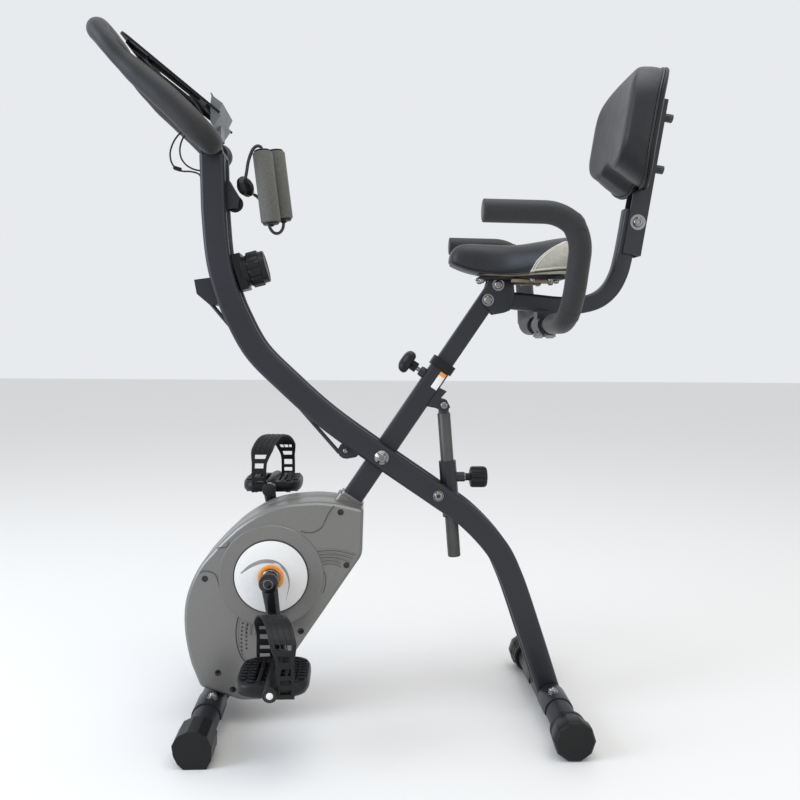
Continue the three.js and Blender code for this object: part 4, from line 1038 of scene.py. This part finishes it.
obj = lathe("tension_grip", [(5, 24), (5, 40.3), (26, 40.3), (28.2, 41.2), (29.4, 42.5),
                             (29.4, 44), (29.4, 58.5), (28.6, 60), (26.8, 60.6), (26.2, 62),
                             (26.2, 68), (25, 69.8), (22, 70.2), (21, 69.4), (0, 69.0)],
            tension_at, tension_dir, "tension_knob", PLASTIC, sides=168, wave=flutes)
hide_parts("tension_knob")
lathe("tension_pointer_ring", [(22.5, 68.9), (22.8, 69.9), (20.6, 70.0), (20.4, 69.0)],
      tension_at, tension_dir, "tension_knob", GLOSSY, sides=64)
lathe("tension_base_ring", [(25.4, 36), (25.4, 39.4), (24.4, 39.9), (0, 39.9), (0, 36)],
      tension_at, tension_dir, "rear_frame", PLASTIC, sides=64)


# ---- clamping knobs ----
seat_knob_at = in_3d(on_post(156))
obj = lathe("seat_lock_knob", [(0, 63.4), (9, 63.6), (16, 62), (21.4, 58.6), (23.6, 53.4),
                               (22.6, 48), (19, 45.2), (10, 44.2), (8.6, 42.4), (8.6, 33.6),
                               (0, 33.6)],
            seat_knob_at, in_3d(ACROSS), "seat_knob",
            PLASTIC, sides=120, wave=lambda r, d, a: r * (
                1 - (0.26 * (0.5 - 0.5 * math.cos(4 * a)) if r > 9 and d > 43 else 0)))
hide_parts("seat_knob")
lathe("seat_knob_ferrule", [(8.8, 17.6), (8.8, 24), (7.8, 25.4), (3.9, 25.6), (3.9, 17.6)],
      seat_knob_at, in_3d(ACROSS), "main_post", PAINT,
      sides=40)
lathe("seat_knob_pin", [(0, 16.2), (3.7, 16.2), (3.7, 34), (0, 34)],
      seat_knob_at, in_3d(ACROSS), "seat_knob", STEEL,
      sides=24)

STRUT_LEAN = math.radians(4.9)


def on_strut(s):
    return (STRUT_TOP[0] + s * math.sin(STRUT_LEAN), STRUT_TOP[1] - s * math.cos(STRUT_LEAN))


strut_knob_at = in_3d(on_strut(124))
obj = lathe("strut_lock_knob", [(0, 65.4), (12, 65.8), (15.5, 65), (17.4, 62.5), (18, 59),
                                (18, 41), (17, 38.2), (14, 37), (7, 36.6), (6.4, 34),
                                (6.4, 28.6), (0, 28.6)],
            strut_knob_at, (1, 0, 0), "strut_knob", PLASTIC,
            sides=168, wave=lambda r, d, a: r * (
                1 - (0.1 * (0.5 - 0.5 * math.tanh(4 * (math.cos(12 * a) + 0.3)))
                     if r > 13 and 37.5 < d < 64.9 else 0)))
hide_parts("strut_knob")
lathe("strut_knob_ferrule", [(4, 26.8), (8, 26.8), (8, 28.2), (4, 28.2)],
      strut_knob_at, (1, 0, 0), "strut_sleeve", STEEL, sides=40)
lathe("strut_knob_pin", [(0, 12.6), (3.7, 12.6), (3.7, 30), (0, 30)],
      strut_knob_at, (1, 0, 0), "strut_knob", STEEL, sides=24)

# strut
strut_dir = (math.sin(STRUT_LEAN), 0, -math.cos(STRUT_LEAN))
bm = lathe_mesh([(9.2, 14), (10.4, 14), (11, 15), (11, 261), (10.4, 262), (9.2, 262),
                 (9.2, 14)], in_3d(STRUT_TOP), strut_dir, 64)
join_into(bm, sweep_mesh([in_3d(on_strut(s)) for s in (0, 8, 16, 20)],
                         rounded_rect(16, 17, 3)))
join_into(bm, lathe_mesh([(0, -8), (8.4, -8), (8.4, 8), (0, 8)], in_3d(STRUT_TOP), (0, 1, 0), 40))
obj = piece("strut_tube", bm, "strut", GUNMETAL)
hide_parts("strut")
for side, sign in SIDES:
    bolt(f"strut_pivot_{side}", in_3d(STRUT_TOP, sign * 13.1), (0, sign, 0), 6.5, 4, "strut")
    bolt(f"sleeve_pivot_{side}", in_3d(SLEEVE_PIVOT, sign * 32.2), (0, sign, 0), 7.5, 4,
         "strut_sleeve", washer=9)
    bolt(f"cross_pivot_{side}", in_3d(PIVOT, sign * 38.0), (0, sign, 0), 7.5, 3.5,
         "rear_frame")


# ---- arm bands ----
def band_handle(name, top, foot, node):
    top, foot = vec(top), vec(foot)
    length = (foot - top).length
    along = foot - top
    obj = lathe(name, [(5.5, 3.2), (13.6, 3.2), (15.4, 4.2), (16, 6), (16, length - 6),
                       (15.4, length - 4.2), (13.6, length - 3.2), (5.5, length - 3.2)],
                top, along, "rear_frame", GREY_FOAM, sides=56)
    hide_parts(node)
    for end, (lo, hi) in (("top", (0, 3.4)), ("foot", (length - 3.4, length))):
        lathe(f"{name}_cap_{end}", [(5, lo), (12, lo), (13.2, lo + 0.8), (13.2, hi - 0.8),
                                    (12, hi), (5, hi), (5, lo)], top, along, "rear_frame",
              PLASTIC, sides=48)
    lathe(f"{name}_core", [(0, 1.2), (5, 1.2), (5, length + 1.5), (3.6, length + 3),
                           (0, length + 3.4)], top, along, "rear_frame", PLASTIC, sides=32)


band_handle("arm_handle_a", (-214.5, -18, 945), (-200, -18, 826), "band_handle_a")
band_handle("arm_handle_b", (-197.5, 16, 953), (-183, 16, 837), "band_handle_b")

# ---- seat frame, saddle and handles ----
BACK_TUBE_LINE = [
    (188, 709), (235, 705), (283, 701), (321, 702.5), (350, 712), (370, 730), (383, 755),
    (390, 783), (395, 811), (402.6, 861),
]
bm = sweep_mesh(even(spline(in_plane(BACK_TUBE_LINE, 0), 10), 5), rounded_rect(25, 29, 6))
obj = piece("seat_back_tube", bm, "seat", PAINT)
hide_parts("seat_frame")
for side, sign in SIDES:
    outline = [(160, 742), (201, 742), (203, 722), (196, 691), (186, 687), (170, 684),
               (158, 694), (148, 706), (154, 724)]
    prism(f"seat_cheek_{side}", outline, sign * 13.2, sign * 16.5, "seat", PAINT)
    for k, s in enumerate((316.4, 347)):
        x, z = on_post(s)
        bolt(f"seat_bolt_{side}_{k}", (x, sign * 16.6, z), (0, sign, 0), 7.5, 5, "seat",
             washer=10)
prism("seat_bridge", [(160, 742), (201, 742), (202, 734), (163, 733)], -13.2, 13.2, "seat",
      PAINT, bevel=0.8)

# side handles
HANDLE_HALF = [
    (119, -211, 823), (234, -211, 822), (262, -208, 790), (262, -168, 700),
    (258, -142, 668), (258, -62, 668),
]
for side, sign in (("near", 1), ("far", -1)):
    points = [vec(x, sign * y, z) for x, y, z in HANDLE_HALF]
    path = even(bent(points, 30, 14), 4)
    obj = sweep(f"side_foam_{side}", path, circle(16.5, 36), "seat", FOAM, round_ends=1.5)
    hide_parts(f"handle_grip_{side}")
    lathe(f"side_plug_{side}", [(0, -1.0), (11, -1.2), (13.5, -0.4), (14.6, 1.0), (14.6, 3),
                                (0, 3)], points[0], (1, 0, 0), "seat", PLASTIC, sides=40)
for k, x in enumerate((249, 268)):
    for y in (-13, 13):
        side = "near" if y < 0 else "far"
        lathe(f"clamp_stud_{k}_{side}", [(0, -26), (3.6, -26), (3.6, -1), (3.0, 0), (0, 0)],
              (x, y, 645), (0, 0, -1), "seat", STEEL, sides=24)
        lathe(f"clamp_nut_{k}_{side}", [(3.4, -8.5), (6.2, -8.5), (6.8, -7.5), (6.8, -3),
                                        (6.2, -2), (3.4, -2), (3.4, -8.5)],
              (x, y, 645), (0, 0, -1), "seat", STEEL, sides=6)


# ---- saddle ----
def along_table(table, x):
    """A smooth curve through a table of (x, value) pairs."""
    last = len(table) - 1
    i = 0
    while i < last - 1 and x > table[i + 1][0]:
        i += 1

    def slope(k):
        a, b = table[max(k - 1, 0)], table[min(k + 1, last)]
        return (b[1] - a[1]) / (b[0] - a[0])
    (x0, v0), (x1, v1) = table[i], table[i + 1]
    h = x1 - x0
    t = min(1.0, max(0.0, (x - x0) / h))
    return (v0 * (1 + 2 * t) * (1 - t) ** 2 + slope(i) * h * t * (1 - t) ** 2
            + v1 * t * t * (3 - 2 * t) - slope(i + 1) * h * t * t * (1 - t))


SADDLE_WIDTH = [(94, 9), (95.5, 16), (99, 22), (107, 27), (127, 32), (155, 37), (185, 50),
                (212, 72), (238, 95), (260, 106), (280, 108), (296, 98), (305, 80), (309, 60)]
SADDLE_TOP = [(94, 776), (95.5, 783), (99, 790), (107, 797), (122, 801), (160, 800),
              (200, 799), (235, 803), (265, 808), (288, 810), (301, 805), (309, 793)]
SADDLE_LOW = [(94, 769), (99, 765), (112, 758.5), (127, 753), (160, 747), (200, 745),
              (260, 747), (295, 749), (309, 756)]


def saddle_ring(x, sides=96):
    w = along_table(SADDLE_WIDTH, x)
    top = along_table(SADDLE_TOP, x)
    low = along_table(SADDLE_LOW, x)
    wing = max(0.0, min(1.0, (x - 195) / 60))
    mid = low + (top - low) * (0.34 + 0.06 * wing)
    ring = []
    for k in range(sides):
        a = 2 * math.pi * k / sides
        c, s = math.cos(a), math.sin(a)
        y = w * math.copysign(abs(c) ** 0.66, c)
        if s >= 0:
            z = mid + (top - mid) * s ** 0.78
            z -= 5.5 * wing * math.exp(-(y / 14.0) ** 2)
        else:
            z = mid - (mid - low) * abs(s) ** 0.55
            y *= 1 - 0.12 * abs(s)
        ring.append(vec(x, y, z))
    return ring


PANEL_START = 219
PANEL_LOW, PANEL_HIGH = 748, 798


def panel_edge(z):
    """How far forward the mesh panel on the rear flank reaches at a height."""
    t = max(0.0, min(1.0, (z - PANEL_LOW) / (PANEL_HIGH - PANEL_LOW)))
    return PANEL_START + 6 * t + 46 * t ** 2.4


def on_panel(p):
    return abs(p.y) > 55 and PANEL_LOW < p.z < PANEL_HIGH and p.x > panel_edge(p.z)


stations = [94, 94.6, 95.5, 97, 99, 101.5, 104] + [106.5 + 2.5 * k for k in range(76)]
stations += [298, 300.5, 303, 305, 307, 308.4, 309]
bm = loft([saddle_ring(x) for x in stations])
bm.normal_update()
for f in bm.faces:
    centre = f.calc_center_median()
    if on_panel(centre):
        f.material_index = 1
    elif centre.z < 750 and centre.x > 120 and abs(f.normal.z) > 0.6:
        f.material_index = 2
obj = piece("saddle_cushion", bm, "seat", [LEATHER, BEIGE, TAN], angle=80)
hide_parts("saddle")


def saddle_flank(x, z):
    """The point on the saddle's flank at a station and height."""
    ring = [p for p in saddle_ring(x, 400) if p.y < -20]
    return min(ring, key=lambda p: abs(p.z - z) + (0.02 * abs(p.z - z) if p.z < z else 0))


for side, sign in (("near", 1), ("far", -1)):
    for k, drop in enumerate((0.0, 3.4)):
        line = []
        for j in range(24):
            z = 748.5 + 48.0 * j / 23
            p = saddle_flank(panel_edge(z) + drop, z)
            line.append(vec(p.x, sign * p.y, p.z))
        sweep(f"saddle_piping_{side}_{k}", spline(line, 2), circle(1.1, 10), "seat", CREAM)
    for name, start, length, steps, share, drop, radius, mat in (
        ("rim", PANEL_START, 80, 25, 0.57, 0, 1.5, CREAM),
        ("hem", 98, 198, 39, 0.60, 0.4, 1.7, PIPING),
    ):
        line = []
        for j in range(steps + 1):
            x = start + length * j / steps
            p = saddle_ring(x, 400)[int(400 * share)]
            line.append(vec(x, sign * -abs(p.y), p.z - drop))
        sweep(f"saddle_{name}_{side}", spline(line, 2), circle(radius, 10), "seat", mat)

# pan under the cushion: black tray, spring nuts and lining
bm = loft([[vec(x, y * w, z) for y, z in ((-1, 746.5), (1, 746.5), (0.9, 741), (-0.9, 741))]
           for x, w in ((142, 16), (160, 24), (200, 34), (240, 58), (280, 60))])
piece("saddle_pan", bm, "seat", PLASTIC, bevel=1.5)
for k, (x, y) in enumerate(((148, -13), (148, 13), (228, -40), (228, 40), (256, -46),
                            (256, 46), (272, -20), (272, 20))):
    bolt(f"pan_nut_{k}", (x, y, 741.5), (0, 0, -1), 5.0, 5.5, "seat", washer=7.5,
         socket=False)
for side, sign in SIDES:
    piece(f"pan_lining_{side}", block((226, sign * 30, 739.5), (62, 16, 5)), "seat", TAN,
          bevel=1.6)

# ---- backrest ----
PAD_LOW, PAD_HIGH, PAD_HALF = 106, 304, 107


def pad_outline(grow=0.0):
    """The pad's outline seen from the front: round shoulders and an arched notch below."""
    w = PAD_HALF + grow
    lo, hi = PAD_LOW - grow, PAD_HIGH + grow
    pts = []

    def corner(cx, cy, rx, ry, a0, a1, steps=18):
        for k in range(steps + 1):
            a = math.radians(a0 + (a1 - a0) * k / steps)
            pts.append(Vector((cx + rx * math.cos(a), cy + ry * math.sin(a))))
    corner(0, hi - 82, w, 82, 0, 180, 36)
    corner(-w + 58, lo + 62, 58, 62, 180, 270)
    for k in range(1, 16):
        t = k / 16
        y = -34 + 68 * t
        pts.append(Vector((y, lo + 15 * math.sin(math.pi * t) ** 1.6)))
    corner(w - 58, lo + 62, 58, 62, 270, 360)
    return pts


def wrap(depth, edge, y):
    return depth + (edge - depth) * (y / 108.0) ** 2


def resample(points, count):
    """Points at equal distances round a closed outline."""
    lengths = [(points[(i + 1) % len(points)] - p).length for i, p in enumerate(points)]
    total = sum(lengths)
    out, i, run = [], 0, 0.0
    for k in range(count):
        goal = total * k / count
        while run + lengths[i] < goal:
            run += lengths[i]
            i += 1
        out.append(points[i].lerp(points[(i + 1) % len(points)], (goal - run) / lengths[i]))
    return out


def pad_surface():
    edge = resample(pad_outline(), 160)
    centre = Vector((0, (PAD_LOW + PAD_HIGH) / 2 + 4))

    def ring(scale, forward, lift=0.0):
        out = []
        for p in edge:
            q = centre + (p - centre) * scale
            low = max(0.0, min(1.0, (PAD_LOW + 80 - p.y) / 80))
            q = Vector((q.x, q.y + lift * low * low * (3 - 2 * low) * scale))
            out.append(on_back(q.y, forward(q), q.x))
        return out

    def back(q):
        return wrap(22.3, 45.3, q.x)

    def front(q):
        dish = 7.0 * min(1, (abs(q.x) / 85.0)) ** 2
        over = max(0.0, (q.y - 232) / 72.0)
        return 79 + dish - 17 * over ** 2.4

    rings = [ring(max(s, 0.02), back) for s in (0.0, 0.4, 0.8, 0.95)]
    rings.append(ring(0.99, lambda q: back(q) + 0.5))
    rings.append(ring(1.0, lambda q: back(q) + 2.5))
    for t in (0.12, 0.25, 0.4, 0.55, 0.7, 0.82):
        rings.append(ring(1.0 + 0.014 * math.sin(math.pi * t) - 0.018 * t,
                          lambda q: back(q) + 2.5 + (front(q) - 10 - back(q) - 2.5) * t,
                          20 * t))
    for scale, drop in ((0.978, 8.0), (0.968, 5.0), (0.952, 2.8), (0.928, 1.2), (0.90, 0.4)):
        rings.append(ring(scale, lambda q: front(q) - drop, 19.5))
    for s in (0.86, 0.8, 0.72, 0.62, 0.5, 0.38, 0.26, 0.14, 0.03):
        rings.append(ring(s, lambda q: front(q) + 2.0 * (1 - s), 19.5 * s))
    return loft(rings)


obj = piece("back_cushion", pad_surface(), "seat", LEATHER, angle=80)
sub = obj.modifiers.new("smooth", "SUBSURF")
sub.levels = sub.render_levels = 1
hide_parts("back_pad")

# seam cord on the pad, by the board
edge = resample(pad_outline(0.6), 160)
path = [on_back(p.y, wrap(23.6, 46.6, p.x), p.x) for p in edge]
sweep("back_piping", path, circle(2.0, 12), "seat", PIPING, side=(1, 0, 0), closed=True)

# board behind the pad
edge = resample(pad_outline(2.5), 160)
centre = Vector((0, 205))
rings = []
for s, back, front in ((0.02, 14.5, 38), (0.9, 14.5, 38), (0.985, 14.8, 38.3),
                       (1.0, 16.5, 40), (1.006, 18.5, 42), (1.0, 20.5, 43.5),
                       (0.985, 21.8, 44.8),
                       (0.9, 22, 45), (0.02, 22, 45)):
    rings.append([on_back(q.y, wrap(back, front, q.x), q.x)
                  for q in (centre + (p - centre) * s for p in edge)])
obj = piece("back_shell", loft(rings), "seat", PLASTIC, angle=50)
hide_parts("back_board")
for side, sign in SIDES:
    bolt(f"back_bolt_{side}", (409, sign * 16.8, 840), (0, sign, 0), 8.5, 5, "seat",
         washer=13)
for k, s in enumerate((150, 236)):
    p = on_back(s, 0)
    lathe(f"pad_bolt_{k}", [(0, 16.9), (5.2, 16.9), (6.8, 16.0), (6.8, 11.4), (4.2, 11.2),
                            (4.2, 2.2), (8.6, 2.0), (8.6, 0.2), (0, 0.2)],
          p, (math.cos(BACK_LEAN), 0, -math.sin(BACK_LEAN)), "seat", GUNMETAL, sides=36)


# ---- small fittings ----
def foot_saddle(name, at, sign, lean, body):
    """A curved plate over the stabilizer with a domed nut on top."""
    angles = [math.radians(-12 + 204 * k / 34) for k in range(35)]

    def arc(radius):
        return [(at[0] + radius * math.cos(a), at[1] + radius * math.sin(a)) for a in angles]

    outer, inner = arc(24.3), arc(22.2)[::-1]
    prism(f"{name}_plate", outer + inner, sign * 34, sign * 88, body, PAINT, bevel=0.5)
    top = (at[0] + 24.0 * math.sin(lean), sign * 66, at[1] + 24.0 * math.cos(lean))
    axis = (math.sin(lean), 0, math.cos(lean))
    lathe(f"{name}_nut", [(0, 9.4), (3.6, 8.8), (5.4, 7.0), (6.0, 5.0), (7.2, 4.6), (7.4, 1.6),
                          (9.2, 1.4), (9.2, 0), (0, 0)], top, axis, body, STEEL, sides=36)


for side, sign in SIDES:
    foot_saddle(f"front_saddle_{side}", FRONT, sign, math.radians(14), "main_post")
    foot_saddle(f"rear_saddle_{side}", REAR, sign, math.radians(-14), "rear_frame")

LABEL_Y = -12.95
turn = Matrix.Rotation(-POST_ANGLE, 4, "Y")
for name, s, t, length, mat in (("post_label", 155, -8.6, 24, LABEL),
                                ("post_label_band", 170.5, -8.6, 7, ORANGE)):
    x, z = on_post(s, t)
    piece(name, block((x, LABEL_Y, z), (length, 0.5, 11.5), turn), "main_post", mat, bevel=0.15)

# lower band guide: two cheeks with a grooved roller between them
GUIDE = (-78, 453.3)
for side, sign in SIDES:
    cheek = [(-90.5, 455), (-87, 461.5), (-80, 466), (-66, 462), (-57.5, 453), (-57, 445),
             (-60, 442.3), (-75, 439.6), (-82, 440.3), (-87.5, 444), (-90.5, 449.5)]
    obj = prism(f"guide_cheek_{side}", cheek, sign * 7.5, sign * 10.2, "rear_frame", PAINT,
                bevel=0.8)
    if sign < 0:
        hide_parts("band_guide_lower")
    bolt(f"guide_bolt_{side}", in_3d(GUIDE, sign * 10.2), (0, sign, 0), 4.5, 3,
         "rear_frame")
lathe("guide_roller", [(0, -7), (9.6, -7), (9.6, -4.5), (6.6, -2), (6.6, 2), (9.6, 4.5),
                       (9.6, 7), (0, 7)], in_3d(GUIDE), (0, 1, 0), "rear_frame",
      PLASTIC, sides=48)
for y, side in ((-4.2, "near"), (4.2, "far")):
    sweep(f"band_lower_run_{side}", [vec(-306, y, 703), vec(-200, y, 577),
                                     vec(-143, y, 511), vec(-89, y, 449)],
          circle(2.8, 12), "rear_frame", CORD)
sweep("band_upper_run", spline([(-277, 0, 866), (-272, 0, 820), (-268, 0, 775)], 6),
      circle(2.6, 12), "rear_frame", CORD)
for name, at, along in (("plug_a", (-311, -6, 904), (1, 0, -0.35)),
                        ("plug_b", (-311, 0, 913.6), (1, 0, -0.2)),
                        ("plug_c", (-352, -10, 914.5), (1, 0, -0.3))):
    lathe(f"wire_{name}", [(0, -7), (1.8, -7), (2.6, -5), (3.4, -4.5), (3.4, 5.5), (2.6, 6.5),
                           (0, 6.5)], at, along, "rear_frame", PLASTIC, sides=24)


# ---- floor, backdrop and light ----
def plane(name, size, location, rotation, color, rough):
    bm = bmesh.new()
    bmesh.ops.create_grid(bm, x_segments=1, y_segments=1, size=size)
    mesh = bpy.data.meshes.new(name)
    bm.to_mesh(mesh)
    bm.free()
    obj = bpy.data.objects.new(name, mesh)
    obj.location = location
    obj.rotation_euler = rotation
    mat = bpy.data.materials.new(name)
    mat.use_nodes = True
    nodes, links = mat.node_tree.nodes, mat.node_tree.links
    bsdf = nodes["Principled BSDF"]
    noise = nodes.new("ShaderNodeTexNoise")
    noise.inputs["Scale"].default_value = 2.0
    ramp = nodes.new("ShaderNodeValToRGB")
    ramp.color_ramp.elements[0].color = (*[c * 0.97 for c in color], 1)
    ramp.color_ramp.elements[1].color = (*color, 1)
    links.new(noise.outputs["Fac"], ramp.inputs["Fac"])
    links.new(ramp.outputs["Color"], bsdf.inputs["Base Color"])
    bsdf.inputs["Roughness"].default_value = rough
    mesh.materials.append(mat)
    bpy.context.scene.collection.objects.link(obj)
    return obj


plane("floor", 12, (0, 0, 0), (0, 0, 0), (0.80, 0.79, 0.77), 0.55)

world = bpy.data.worlds.new("studio")
bpy.context.scene.world = world
world.use_nodes = True
world.node_tree.nodes["Background"].inputs["Color"].default_value = (0.95, 0.97, 1.0, 1)
world.node_tree.nodes["Background"].inputs["Strength"].default_value = 0.85
bpy.context.scene.view_settings.view_transform = "Standard"


def softbox(name, location, target, size, power, color=(1, 1, 1)):
    light = bpy.data.lights.new(name, "AREA")
    light.shape = "RECTANGLE"
    light.size, light.size_y = size
    light.energy = power
    light.color = color
    obj = bpy.data.objects.new(name, light)
    obj.location = location
    obj.rotation_euler = (Vector(target) - Vector(location)).to_track_quat("-Z", "Y").to_euler()
    bpy.context.scene.collection.objects.link(obj)


softbox("window", (-2.6, -0.9, 1.4), (0, 0, 0.6), (1.2, 2.0), 55, (0.72, 0.83, 1.0))
softbox("overhead", (0.2, -0.4, 2.9), (0, 0, 0.4), (2.4, 2.0), 30, (1.0, 0.99, 0.97))
softbox("fill", (2.2, -2.4, 1.2), (0, 0, 0.6), (1.8, 1.8), 10, (1.0, 0.97, 0.93))
